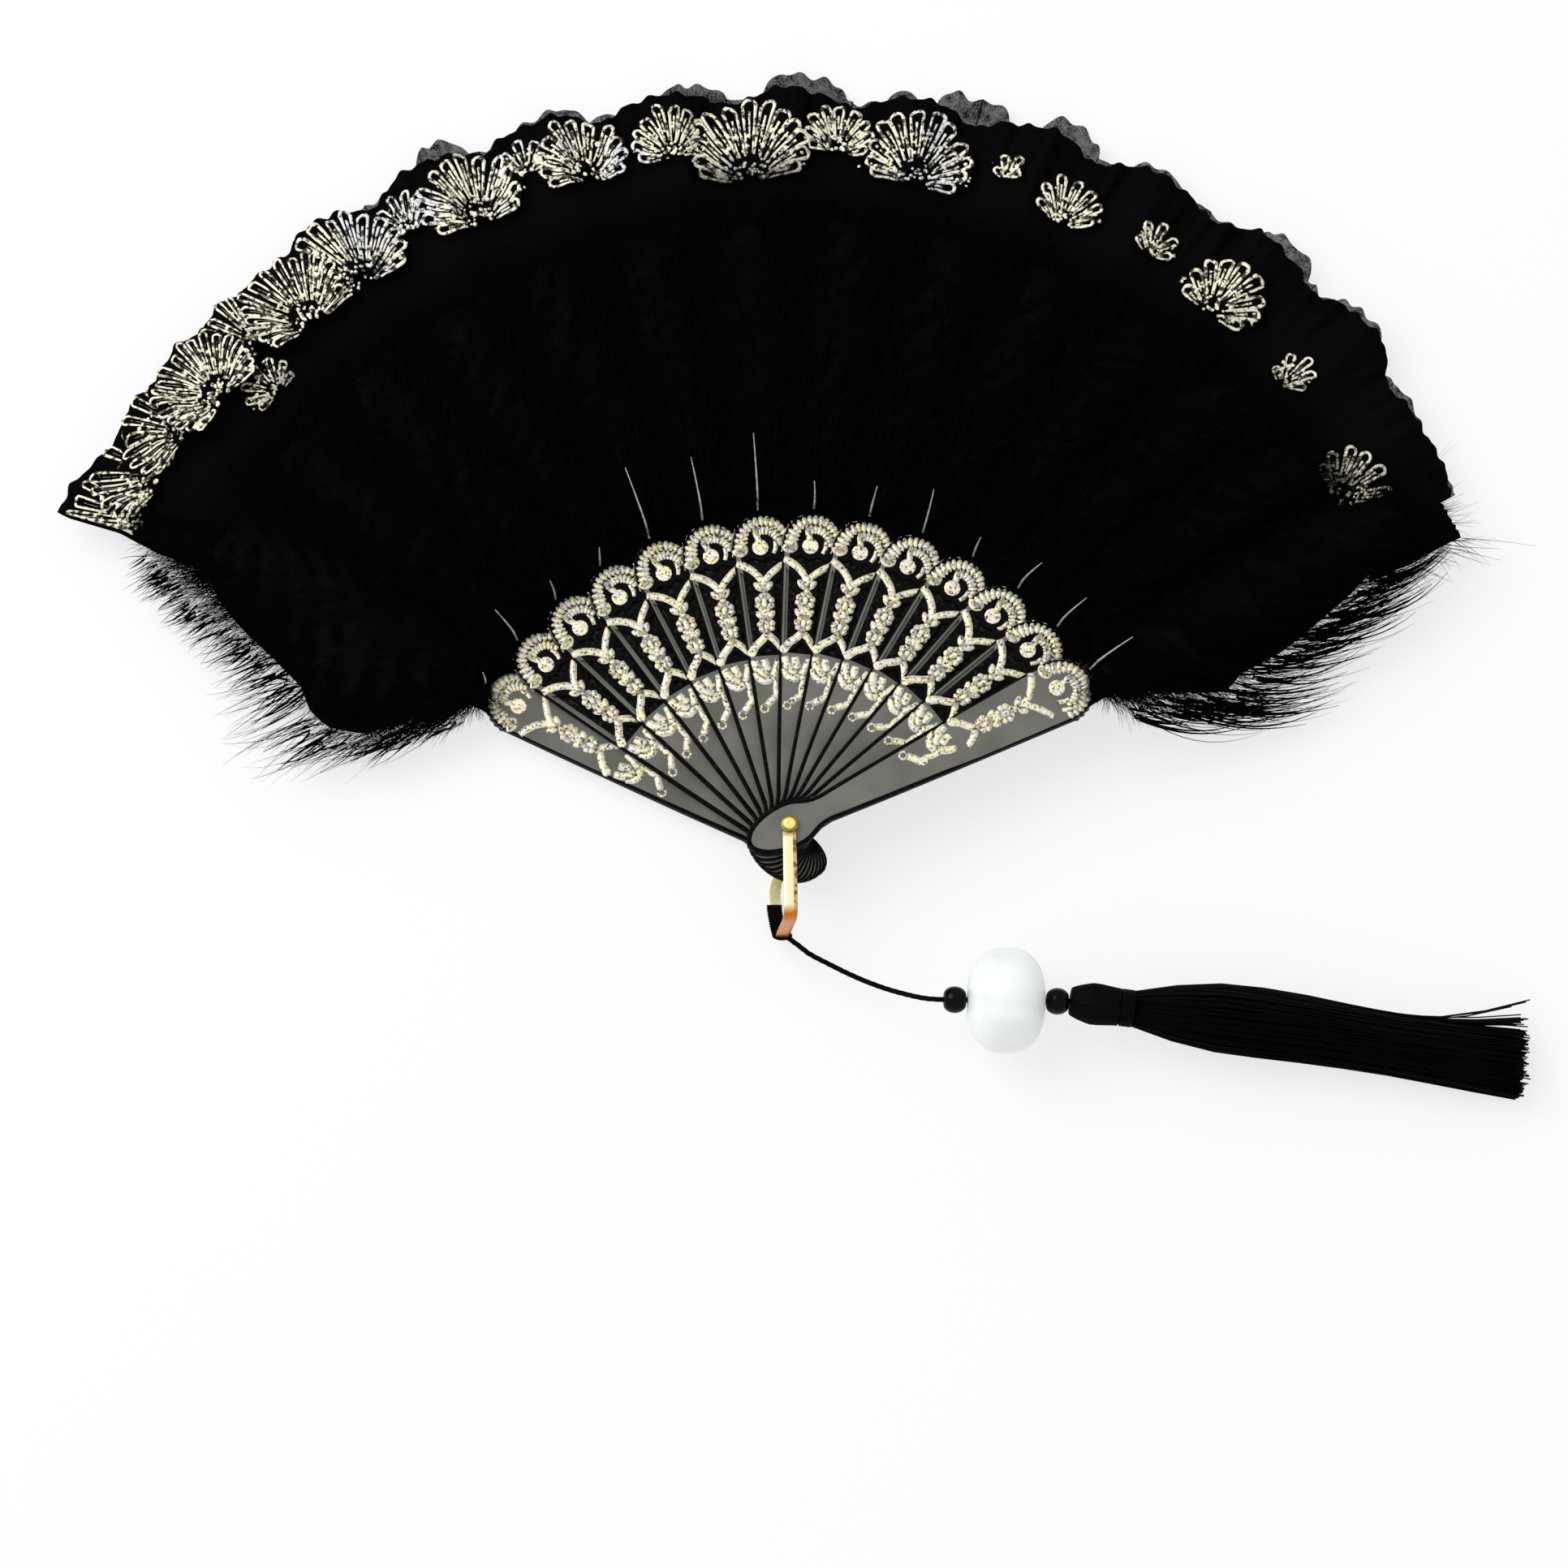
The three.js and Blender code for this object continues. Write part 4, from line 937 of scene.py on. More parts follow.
# Palmettes of the thread work: the place in folds from the back guard, the distance of the foot from
# the pivot and the reach in millimetres, half the spread in degrees, the number of loops, half a
# loop's width and the bulge of the cloth in millimetres
palmettes = [
    (0.12, 211, 25, 42, 9, 1.0, 2.0),
    (0.42, 214, 20, 72, 11, 1.0, 3.0),
    (0.72, 214, 20, 74, 13, 1.0, 5.0),
    (1.06, 214, 22, 98, 19, 1.0, 7.5),
    (1.42, 203, 12, 80, 7, 1.0, 2.5),
    (1.58, 217, 18, 72, 11, 1.0, 4.0),
    (2.05, 211, 24, 80, 15, 1.15, 6.5),
    (2.62, 210, 26, 80, 14, 1.4, 4.5),
    (3.20, 218, 14, 66, 7, 1.15, 2.5),
    (3.77, 210, 24, 76, 12, 1.4, 3.0),
    (4.30, 219, 12, 60, 5, 1.2, 2.0),
    (4.75, 211, 21, 75, 11, 1.4, 3.0),
    (5.50, 212, 18, 70, 10, 1.3, 2.5),
    (6.16, 203, 27, 74, 13, 1.8, 3.5),
    (6.90, 213, 16, 74, 9, 1.35, 2.5),
    (7.60, 204, 25, 72, 12, 1.7, 3.5),
    (8.36, 214, 9, 50, 4, 1.1, 1.5),
    (8.93, 206, 17, 60, 7, 1.25, 2.0),
    (9.75, 209, 12, 55, 5, 1.1, 2.0),
    (10.50, 202, 21, 64, 9, 1.55, 3.0),
    (11.42, 200, 13, 48, 5, 1.15, 2.0),
    (12.55, 191, 19, 74, 9, 1.35, 2.5),
    (12.80, 197, 9, 66, 5, 1.1, 1.5),
]


def loop_length(palmette, aim):
    """Length of a palmette's loops by the angle at which they leave its foot: longest in the middle."""
    _, _, reach, spread, *_ = palmette
    return reach * (0.5 + 0.5 * np.cos(np.clip(aim / np.radians(spread), -1, 1) * 0.49 * np.pi) ** 0.8)


def palmette_place(palmette, x, y, lift):
    """Row-frame points from places on a palmette in millimetres: x to its right and y outwards from its
    foot, on cloth that bulges by the root of one less the squared share of its reach. Nothing passes the
    leaf's left edge: what would is laid along it."""
    fold, foot, reach, _, _, _, bulge = palmette
    index = int(fold)
    dome = bulge * np.sqrt(np.clip(1 - (x**2 + y**2) / (1.04 * reach) ** 2, 0, 1))
    across = fold - index + x / (foot * fold_step)
    if index == 0:
        across = np.maximum(across, 0.02)
    return panel_place(index, across, (foot + y) * mm, (dome + lift) * mm)


def palmette_lines(palmette, rng):
    """Thread lines of a palmette in x and y from its foot, with their half-widths: each loop runs out
    along one side, round a half circle and back, and holds a straight thread."""
    _, _, _, spread, count, half, _ = palmette
    aim = np.radians(np.linspace(-spread, spread, count)) * 0.97 + rng.normal(0, 0.02, count)
    length = (loop_length(palmette, aim) * rng.uniform(0.94, 1.03, count))[:, None]
    side = np.linspace(0, 1, 6)
    arch = np.linspace(np.pi, 0, 9)[1:-1]
    lane = np.concatenate([-(0.45 + 0.55 * side), np.cos(arch), (0.45 + 0.55 * side)[::-1]])
    run = np.concatenate([side, np.ones(7), side[::-1]])
    rise = np.concatenate([0 * side, np.sin(arch), 0 * side])
    y = 0.36 * length + (0.64 * length - half) * run + half * rise
    x = half * lane + 0 * y
    inner = np.linspace(0, 1, len(run))
    inner_y = 0.52 * length + np.maximum(0.46 * length - 2.0 * half, 0.3) * inner
    x, y = np.concatenate([x, 0 * inner_y]), np.concatenate([y, inner_y])
    aim = np.concatenate([aim, aim])[:, None]
    inner_thickness = (0.4 + 0.35 * inner + 0 * length) * (half > 1.2)
    thickness = np.concatenate([0.6 + 0.4 * run + 0 * length, inner_thickness])
    width = np.clip(0.4 * half, 0.4, 0.58) * np.maximum(thickness, 0.05)
    width = width * rng.uniform(0.62, 1.12, width.shape)
    return np.sin(aim) * y + np.cos(aim) * x, np.cos(aim) * y - np.sin(aim) * x, width


def knot_places(palmette, rng):
    """Places and sizes of the small knots of thread: scattered about the foot of a palmette."""
    _, _, reach, spread, count, half, _ = palmette
    knots = 8 * count
    aim = np.radians(rng.uniform(-spread, spread, knots))
    away = reach * rng.uniform(0.1, 0.72, knots)
    return np.sin(aim) * away, np.cos(aim) * away, rng.uniform(0.35, 0.75, knots)


def thread_work(index, material):
    """Metallic thread of one panel: the loops and knots of its palmettes, low tubes and buttons that
    lie on the cloth."""
    parts = []
    turn = 2 * np.pi * np.arange(7) / 7
    share = np.array([0.05, 0.75, 1.0, 0.05])[:, None]
    lift = np.array([0.55, 0.45, 0.2, 0.15])[:, None]
    for number, palmette in enumerate(palmettes):
        if int(palmette[0]) != index:
            continue
        rng = np.random.default_rng(thread_seed + number)
        x, y, width = palmette_lines(palmette, rng)
        parts.append(sweep(palmette_place(palmette, x, y, 0.42), width * mm, 0.17 * mm, hinge_axis))
        x, y, size = (value[:, None, None] for value in knot_places(palmette, rng))
        spot = size * share
        x, y = x + spot * np.cos(turn), y + spot * np.sin(turn)
        parts.append(rings(palmette_place(palmette, x, y, 0.2 + lift)))
    return build_mesh(f"thread_work_{index + 1:02d}", *joined(parts), material)


def shell_cloth(index, material):
    """Black cloth under a panel's palmettes: for each a bulging fan whose rim follows the loops' ends."""
    parts = []
    for palmette in palmettes:
        if int(palmette[0]) != index:
            continue
        _, _, _, spread, count, half, _ = palmette
        share = np.linspace(1, -1, 12 * count + 1)[:, None]
        aim = np.radians(spread + 5) * share
        lobes = np.abs(np.cos(np.pi * (count - 1) * share / 2)) ** 0.6
        rim = loop_length(palmette, aim * 0.97) + 0.5 * half * (lobes - 0.4)
        away = rim * np.linspace(0.2, 1, 9)[None]
        points = palmette_place(palmette, np.sin(aim) * away, np.cos(aim) * away, 0.22)
        parts.append((points.reshape(-1, 3), [grid_faces(*away.shape)]))
    return build_mesh(f"shell_cloth_{index + 1:02d}", *joined(parts), material)


# Humps of the sheer frill: place in folds, rise in millimetres over the frill's low wave, half-width
# in folds
frill_humps = np.array([
    (0.95, 2.0, 0.2), (1.75, 1.5, 0.2), (2.63, 3.5, 0.2), (3.7, 6.5, 0.22), (4.6, 3.5, 0.3),
    (5.72, 4.5, 0.28), (6.62, 6.5, 0.33), (7.4, 4.0, 0.13), (7.95, 7.5, 0.3), (8.75, 6.5, 0.25),
    (9.5, 3.5, 0.25), (10.67, 5.5, 0.25), (11.45, 4.0, 0.25), (12.3, 2.5, 0.3),
])


def frill_edge(fold):
    """Outer edge of the frill: a low wave, or the highest hump, each with a flattened round top."""
    centre, rise, half = frill_humps.T
    humps = rise * np.sqrt(np.clip(1 - np.abs((fold[..., None] - centre) / half) ** 3, 0, 1))
    wave = 1.0 * np.abs(np.sin(3.7 * np.pi * fold)) ** 0.7
    return leaf_edge + edge_gain(fold) + (np.maximum(humps.max(-1), wave) - 2.5) * mm


def edge_ruffle(index, material):
    """A sheer frill behind a panel's edge: a crimped strip of net whose humps reach past the scallops."""
    across = np.linspace(1.0, 0.0, frill_rows)[:, None]
    along = np.linspace(0, 1, frill_columns)[None]
    fold = index + across
    radius = frill_start + (frill_edge(fold) - frill_start) * along
    crimp = np.sin(2 * np.pi * (7.3 * fold + 0.2 * np.sin(9 * fold)))
    lift = (-0.5 + along * (1.2 + 0.7 * crimp)) * mm
    points = panel_place(index, across, radius, lift)
    faces = [grid_faces(frill_rows, frill_columns)]
    return build_mesh(f"edge_ruffle_{index + 1:02d}", points, faces, material)


def blend_panel(piece, index):
    """Bakes the piece's placement into its mesh; points on its two sticks are found but not used."""
    middle = 0.5 * (rib_tip + leaf_start)
    level = leaf_levels[index]
    start = from_fan(polar(stick_angle(index), middle, level))
    end = from_fan(polar(stick_angle(index + 1), middle, level))
    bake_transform(piece)


# Down plumes


def wing_edge(index, along):
    """How far the down of an outer plume hangs out past the middle of its guard."""
    if index == 0:
        stations = [92, 101, 107, 115, 124, 135, 142, 148, 160, 183, 190, 201, 210, 222]
        reach = [5, 17, 23, 32, 40, 41, 38, 32, 29, 28, 25, 20, 16, 6]
    else:
        stations = [92, 98, 105, 114, 126, 134, 140, 154, 169, 180, 193, 205, 214, 222]
        reach = [5, 12, 18, 20, 25, 27, 23, 22, 19, 17, 13, 10, 7, 1]
    return np.interp(along / mm, stations, reach) * mm


def arcs(root, middle, tip, steps):
    """Quadratic curves from root to tip, drawn towards the middle point, in even steps."""
    t = np.linspace(0, 1, steps)[:, None]
    return root[:, None] * (1 - t) ** 2 + 2 * middle[:, None] * t * (1 - t) + tip[:, None] * t**2


def plume_barbs(index, count, steps, rng, settings):
    """Barbs of a plume in places on its stick: across, along, and height over the plume's floor.

    Tips are spread over the plume's sector, and past the guard on an outer plume. Roots lie on the
    quill, nearer the pivot. Between them a barb arches up and falls."""
    half_sector = fold_step / 2
    far = front_plume_tip if index == last_stick else plume_tip
    share = rng.random(count)
    stray = 9 * rng.random(count) * (rng.random(count) < 0.12)
    tip_along = (101 + (far / mm - 96) * share**0.85 + rng.normal(0, 2.2, count) + stray) * mm
    reach = half_sector * tip_along + 5 * mm
    side = rng.uniform(-1, 1, count)
    tip_across = side * reach
    if index in (0, last_stick):
        free = rng.random(count) < 0.72
        sign = -1.0 if index == 0 else 1.0
        free_along = (93 + 125 * rng.random(count) ** 0.9) * mm
        wing = wing_edge(index, free_along) * rng.uniform(0.25, 1.0, count) ** 0.55
        wing = wing * (1 + 0.1 * np.abs(rng.normal(0, 1, count)) * (rng.random(count) < 0.3))
        tip_along = np.where(free, free_along, tip_along)
        tip_across = np.where(free, sign * wing, tip_across)
    sweep_back = rng.uniform(0.15, 0.95, count)
    root_along = np.clip(tip_along - (6 + 26 * sweep_back) * mm, 101 * mm, 200 * mm)
    root_across = tip_across * 0.12 + rng.normal(0, 1.0, count) * mm
    low_tips = tip_along < root_along
    pull = np.where(low_tips, 0.25, rng.uniform(0.35, 0.75, count))
    bend_along = root_along + (tip_along - root_along) * pull
    bend_across = root_across + (tip_across - root_across) * rng.uniform(0.3, 0.85, count)
    dome = np.sin(np.pi * np.clip((tip_along - 94 * mm) / (far - 90 * mm), 0.04, 0.96)) ** 0.5
    edge = np.abs(tip_across) / np.maximum(reach, 1e-6)
    crest = plume_height / mm * dome * np.clip(1.15 - 0.75 * edge**2, 0.1, 1) * rng.uniform(0.35, 1.0, count)
    tip_height = (0.6 + crest) * mm
    bend_height = (2.5 + 12.5 * dome * rng.uniform(0.6, 1.0, count)) * mm
    root = np.stack([root_across, root_along, np.full(count, 1.2 * mm)], -1)
    bend = np.stack([bend_across, bend_along, bend_height], -1)
    tip = np.stack([tip_across, tip_along, tip_height], -1)
    paths = arcs(root, bend, tip, steps)
    t = np.linspace(0, 1, steps)
    curl = rng.normal(0, 1, (count, 1, 3)) * np.sin(np.pi * 1.5 * t)[:, None] * t[:, None]
    paths = paths + curl * settings.curl * (1.0, 1.0, 0.4)
    width = settings.barb_width * rng.uniform(0.6, 1.2, (count, 1)) * (1 - 0.85 * t)
    return paths, width


def wisps(index, count, steps, rng):
    """Long strands past the down's edge, in places on an outer stick. On the back guard they leave the
    edge forwards and outwards, nearly straight; on the front guard they run along the edge in shallow
    bows. One in five is a thicker lock."""
    lock = rng.random(count) < 0.2
    if index == 0:
        along = (99 + 108 * rng.random(count) ** 0.8) * mm
        heading = np.radians(rng.normal(54, 8, count))
        belly = np.exp(-(((along / mm - 140) / 22) ** 2))
        length = (9 + 15 * belly) * rng.uniform(0.5, 1.2, count) * np.where(lock, 0.8, 1.0) * mm
        start = wing_edge(0, along) * rng.uniform(0.8, 1.0, count)
        bow = length * rng.normal(0, 0.06, count)
        sign = -1.0
    else:
        along = (104 + 88 * rng.random(count)) * mm
        heading = np.radians(np.interp(along / mm, [110, 135, 180], [24, 17, -2]) + rng.normal(0, 4, count))
        length = np.minimum((12 + 26 * rng.random(count)) * mm, 214 * mm - along)
        start = wing_edge(last_stick, along) * rng.uniform(0.8, 1.05, count)
        bow = length * rng.uniform(0.03, 0.12, count)
        sign = 1.0
    out, on = np.sin(heading), np.cos(heading)
    height = rng.uniform(0.5, 5.0, count) * mm
    root = np.stack([sign * start, along, height + 1.0 * mm], -1)
    tip = np.stack([sign * (start + length * out), along + length * on, height * 0.5], -1)
    middle = (root + tip) / 2 + bow[:, None] * np.stack([sign * on, -out, 0 * out], -1) * 2
    t = np.linspace(0, 1, steps)
    width = np.where(lock, 0.42, rng.uniform(0.07, 0.2, count))[:, None] * (1 - 0.85 * t**1.5) * mm
    return arcs(root, middle, tip, steps), width


def collar(index, count, steps, rng):
    """Short barbs that fall back onto the rim of a stick's head, in places on the stick: their tips end
    on the head's outline."""
    across = rng.uniform(-8.4, 8.4, count)
    edge = (head_start + head_height * np.sqrt(1 - (2 * across * mm / head_width) ** 2)) / mm
    tip_along = edge - 0.25 + np.abs(rng.normal(0, 0.35, count))
    tip = np.stack([across * mm, tip_along * mm, np.full(count, 0.3 * mm)], -1)
    root = tip + np.stack([rng.normal(0, 0.6, count), 111 - tip_along, rng.uniform(2, 5, count)], -1) * mm
    middle = (tip + root) / 2 + rng.uniform(1.0, 3.0, (count, 1)) * (0, 0, mm)
    width = 0.24 * mm * (1 - 0.6 * np.linspace(0, 1, steps)) * np.ones((count, 1))
    return arcs(root, middle, tip, steps), width


def plume_points(index, places):
    """Row-frame points of places on a plume: its floor is found under each point, and the table stops
    them."""
    across, along, height = places[..., 0], places[..., 1], places[..., 2]
    angle = stick_angle(index) - np.arctan2(across, along)
    radius = np.hypot(across, along)
    points = from_fan(polar(angle, radius, plume_floor(index, angle, radius) + height))
    points[..., 2] = np.maximum(points[..., 2], down_rest)
    return points


def plume_core(index, rng):
    """Dense heart of a plume: rings round its length, domed on top and flat below, roughened by
    sums of sines."""
    rows, sides = 34, 30
    share = np.linspace(0, 1, rows)[:, None]
    far = front_plume_tip - 5 * mm if index == last_stick else plume_tip
    along = (plume_root - 4 * mm) + (far - plume_root - 4 * mm) * share
    turn = -2 * np.pi * np.arange(sides)[None] / sides
    rounding = np.sin(np.pi * np.clip(0.05 + 0.9 * share, 0, 1)) ** 0.4
    left = right = fold_step / 2 * along * 0.96
    if index == 0:
        left = np.maximum(wing_edge(index, along) * 0.86, 4 * mm)
    if index == last_stick:
        right = np.maximum(wing_edge(index, along) * 0.86, 4 * mm)
    across = np.where(np.cos(turn) > 0, right, left) * np.cos(turn) * rounding
    rough = sum(
        np.sin(along / mm * f + turn * k + p)
        for f, k, p in zip(rng.uniform(0.25, 1.1, 5), rng.integers(2, 9, 5), rng.random(5) * 6)
    )
    dome = (1.0 + 8.6 * rounding + 0.5 * rough) * mm
    height = np.where(np.sin(turn) > 0, np.sin(turn) * dome, 0.0)
    places = np.stack(np.broadcast_arrays(across, along, height), -1)
    return rings(plume_points(index, places)[None])


def down_plume(index, settings, material):
    """One plume: its dense heart and its barbs, in one piece."""
    rng = np.random.default_rng(plume_seed + index)
    is_outer = index in (0, last_stick)
    count = settings.outer_barbs if is_outer else settings.inner_barbs
    steps = 6 if is_outer else 5
    places, width = plume_barbs(index, count, steps, rng, settings)
    parts = [plume_core(index, rng), sweep(plume_points(index, places), width, width, hinge_axis, sides=3)]
    groups = [collar(index, settings.collar_barbs, 5, rng)]
    if is_outer:
        groups.append(wisps(index, settings.wisps, 10, rng))
    for places, width in groups:
        parts.append(sweep(plume_points(index, places), width, width, hinge_axis, sides=3))
    vertices, faces = joined(parts)
    piece = build_mesh(f"down_plume_{index + 1:02d}", vertices, faces, material)
    dress(piece, stick_bodies[index], [f"plume_{index + 1:02d}"])
    if index < last_stick:
        anchor = from_stick(index, 0.0, plume_middle, stick_top(index) + 0.5 * mm)
        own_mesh(piece)
    return piece


# Bare quill ends, one for each stick: length and lean to the right in millimetres
quill_ends = [
    (3, 0.0), (11, 0.3), (5, 0.0), (4, 0.5), (22, 0.2), (18.5, 0.0), (22.5, -0.3), (7, -0.9),
    (8, 0.2), (12, -1.6), (5, 0.0), (9.5, 1.6), (11.5, 0.5), (15.5, -0.4),
]


def quill(index, material):
    """Bare end of a quill: a needle that rises steeply from the head's edge out over the down."""
    length, lean = (value * mm for value in quill_ends[index])
    share = np.linspace(0, 1, 7)
    along = head_end + 0.6 * mm + np.maximum(length - 2.5 * mm, mm) * share
    across = -1.3 * mm + lean * share**1.3
    floor = plume_floor(index, stick_angle(index) + 0 * along, along)
    height = np.maximum(stick_top(index) + 0.4 * mm, floor) + (2.0 + 11.5 * share**0.45) * mm
    path = from_stick(index, across, along, height)[None]
    width = (0.32 - 0.2 * share) * mm
    vertices, faces = sweep(path, width, width, hinge_axis, sides=6)
    return build_mesh(f"quill_{index + 1:02d}", vertices, faces, material)


# Bail and pin


def from_bail(points):
    """Row-frame points from bail places: across it, out along it from the pivot, and up."""
    across, out, height = points[..., 0], points[..., 1], points[..., 2]
    angle = bail_angle - np.pi / 2
    x = out * np.cos(angle) - across * np.sin(angle)
    y = out * np.sin(angle) + across * np.cos(angle)
    return from_fan(np.stack([x, y, height], -1))


def bail_line():
    """Middle line of the bail in bail places: out along the lower leg, up the base, and back along the
    upper leg. The lower leg, past its eye, stands a little aside, so that the base slants."""
    low = -layer_gap - bail_thickness / 2
    high = stick_top(last_stick) + layer_gap + bail_thickness / 2
    reach, corner = bail_reach, bail_corner - bail_thickness / 2
    turn = np.linspace(0, np.pi / 2, 9)
    lower = np.stack([reach - corner + corner * np.sin(turn), low + corner - corner * np.cos(turn)], -1)
    upper = np.stack([reach - corner + corner * np.cos(turn), high - corner + corner * np.sin(turn)], -1)
    leg = np.linspace(2.2 * mm, reach - corner, 9)[:-1]
    line = np.concatenate(
        [
            np.stack([leg, np.full(8, low)], -1),
            lower,
            np.stack([np.full(5, reach), np.linspace(low + corner, high - corner, 7)[1:-1]], -1),
            upper,
            np.stack([leg[::-1], np.full(8, high)], -1),
        ]
    )
    share = (line[:, 1] - low) / (high - low)
    away = np.interp(line[:, 0] / mm, [3, 6, 9, 12, 18, 23, 27.3], [0, 0.25, 0.75, 1, 1, 0.8, 0.5])
    aside = bail_lean * (1 - share) * away
    return np.stack([aside, line[:, 0], line[:, 1]], -1)


def strip_along(path, half_width, half_thickness):
    """A strip along a line of bail places, with a rounded rectangle for its section."""
    forward = unit(np.gradient(path, axis=0))
    across = np.array([1.0, 0.0, 0.0])
    out = unit(np.cross(forward, across))
    turn = 2 * np.pi * np.arange(20) / 20
    wide = np.sign(np.cos(turn)) * np.abs(np.cos(turn)) ** 0.35 * np.reshape(half_width, (-1, 1))
    thick = np.sign(np.sin(turn)) * np.abs(np.sin(turn)) ** 0.6 * np.reshape(half_thickness, (-1, 1))
    section = path[:, None] + wide[..., None] * across + thick[..., None] * out[:, None]
    return rings(from_bail(section)[None, :, ::-1])


def rounded_disc(height, thickness, inner, outer):
    """Closed profile of a flat ring or disc with rounded rims: distances along and out from the pin."""
    turn = np.linspace(-np.pi / 2, np.pi / 2, 7)
    rim = np.stack([thickness / 2 * np.sin(turn), outer - thickness / 2 * (1 - np.cos(turn)) * 0.8], -1)
    hole = np.array([[thickness / 2, inner], [-thickness / 2, inner]])
    return np.concatenate([rim, hole]) + (height, 0)


def pin_profile(low, high):
    """Closed profile of the pin: two flat-topped heads with rounded rims, and the shank between them."""
    turn = np.linspace(0, np.pi / 2, 7)
    crown = np.stack([np.cos(turn) ** 0.3, np.sin(turn) ** 0.8], -1)
    crown = crown * (pin_head_height, pin_head_radius - 0.3 * mm)
    bottom = np.array([low, 0]) + crown * (-1, 1)
    top = (np.array([high, 0]) + crown)[::-1]
    shank = np.array([[low, pin_radius], [high, pin_radius]])
    return np.concatenate([bottom, shank, top]) + (0, 1e-6)


# Cord


def centripetal_path(points, steps):
    """Even steps along a centripetal Catmull-Rom curve: knots are spaced by the square root of the
    distance between points, and each stretch is the cubic with the spline's slopes at its ends."""
    points = np.asarray(points, float)
    padded = np.concatenate([[2 * points[0] - points[1]], points, [2 * points[-1] - points[-2]]])
    step = np.maximum(np.linalg.norm(np.diff(padded, axis=0), axis=1), 1e-9) ** 0.5
    slope = np.diff(padded, axis=0) / step[:, None]
    knot = slope[:-1] - (padded[2:] - padded[:-2]) / (step[:-1] + step[1:])[:, None] + slope[1:]
    place = np.linspace(0, len(points) - 1, steps)
    index = np.minimum(place.astype(int), len(points) - 2)
    t = (place - index)[:, None]
    span = step[1:-1][index][:, None]
    a, b = points[index], points[index + 1]
    out, into = knot[index] * span, knot[index + 1] * span
    return (
        a * (2 * t**3 - 3 * t**2 + 1) + b * (3 * t**2 - 2 * t**3)
        + out * (t**3 - 2 * t**2 + t) + into * (t**3 - t**2)
    )


def straight(line, count):
    """Even steps along the straight line between two points."""
    share = np.linspace(0, 1, count)[:, None]
    return np.asarray(line[0]) * (1 - share) + np.asarray(line[1]) * share


def cord_path(steps):
    """Row-frame path of the cord: its open stretch, then straight through the beads and the tassel."""
    route = np.concatenate([cord_stretch, straight(bead_line, 5), straight(tassel_line, 6)])
    return centripetal_path(route, steps) * mm + table_under_pivot


def twisted(path, radius, lay, sides=12, strands=3, depth=0.12):
    """A laid cord: a tube with a lobe for each strand, the lobes turning once for each 'lay' of length."""
    forward = unit(np.gradient(path, axis=0))
    side = unit(np.cross(forward, (0.0, 0.0, 1.0)))
    rise = np.cross(side, forward)
    length = way_along(path)
    turn = 2 * np.pi * np.arange(sides) / sides
    lobes = 1 - depth * (0.5 - 0.5 * np.cos(strands * (turn + 2 * np.pi * length[:, None] / lay)))
    ring = side[:, None] * np.cos(turn)[:, None] + rise[:, None] * np.sin(turn)[:, None]
    return rings((path[:, None] + radius * lobes[..., None] * ring)[None])


def whipping():
    """Close turns of thread round the bail, from its lower leg to the foot of its base: a flat sleeve
    with a ridge for each turn."""
    line = bail_line()
    length = way_along(line)
    place = np.linspace(15.5 * mm, 27.5 * mm, 15 * 8)
    path = np.stack([np.interp(place, length, line[:, k]) for k in range(3)], -1)
    ridge = (0.2 + 0.12 * np.cos(2 * np.pi * np.arange(len(place)) / 8)) * mm
    return strip_along(path, bail_width / 2 + ridge, bail_thickness / 2 + ridge)


def hitch_paths():
    """Paths of the cord on the bail: a tight ring round the foot of its base, and the lead from the
    ring's right side to the cord's start."""
    line = bail_line()
    up_base = (line[:, 1] > bail_reach - mm) & (line[:, 2] < 20 * mm)
    middle = np.interp(loop_height, line[up_base, 2], line[up_base, 0])
    turn = np.linspace(0, 2 * np.pi, 33)
    half_across, half_deep = bail_width / 2 + 0.5 * mm, bail_thickness / 2 + 0.5 * mm
    across, out = middle + half_across * np.cos(turn), bail_reach + half_deep * np.sin(turn)
    ring = np.stack([across, out, loop_height + 0 * turn], -1)
    start = from_bail(np.array([middle + 1.6 * mm, bail_reach + 0.6 * mm, loop_height]))
    end = np.array(cord_stretch[0]) * mm + table_under_pivot
    return from_bail(ring), straight((start, end + 0.1 * (end - start)), 9)


# Beads and tassel


def bead_profile(length, radius, roundness, steps):
    """Closed profile of a bead: the outside bulges as a superellipse between its ends, and the bore
    runs straight back."""
    share = np.sin(np.linspace(-np.pi / 2, np.pi / 2, steps))
    bulge = np.clip(1 - np.abs(share) ** roundness, 0, 1) ** (1 / roundness)
    end = bead_bore + 0.2 * mm
    outside = np.stack([share * length / 2, end + (radius - end) * bulge], -1)
    return np.concatenate([outside, [(length / 2, bead_bore), (-length / 2, bead_bore)]])


def bead_frame():
    """Middle of the big bead and the direction of its bore, in the row frame."""
    start, end = (np.array(point) * mm + table_under_pivot for point in bead_line)
    return (start + end) / 2, unit(end - start)


def carved_lobes(turn, out):
    """Share of a carved bead's outward distance: worn, shallow lobes and faint facets."""
    depth = np.clip((out - bead_bore) / (big_bead_radius - bead_bore), 0, 1)
    groove = np.abs(np.cos(big_bead_lobes * turn / 2)) ** 5
    facet = np.cos(3 * turn + 9 * depth) * np.cos(5 * turn - 14 * depth)
    return 1 - (0.022 * groove + 0.008 * facet) * depth**1.5


def tassel_frame():
    """The tassel's top and its directions along, across and up, in the row frame."""
    start, end = (np.array(point) * mm + table_under_pivot for point in tassel_line)
    axis = unit(end - start)
    across = unit(np.cross((0.0, 0.0, 1.0), axis))
    return start, axis, across, np.cross(axis, across)


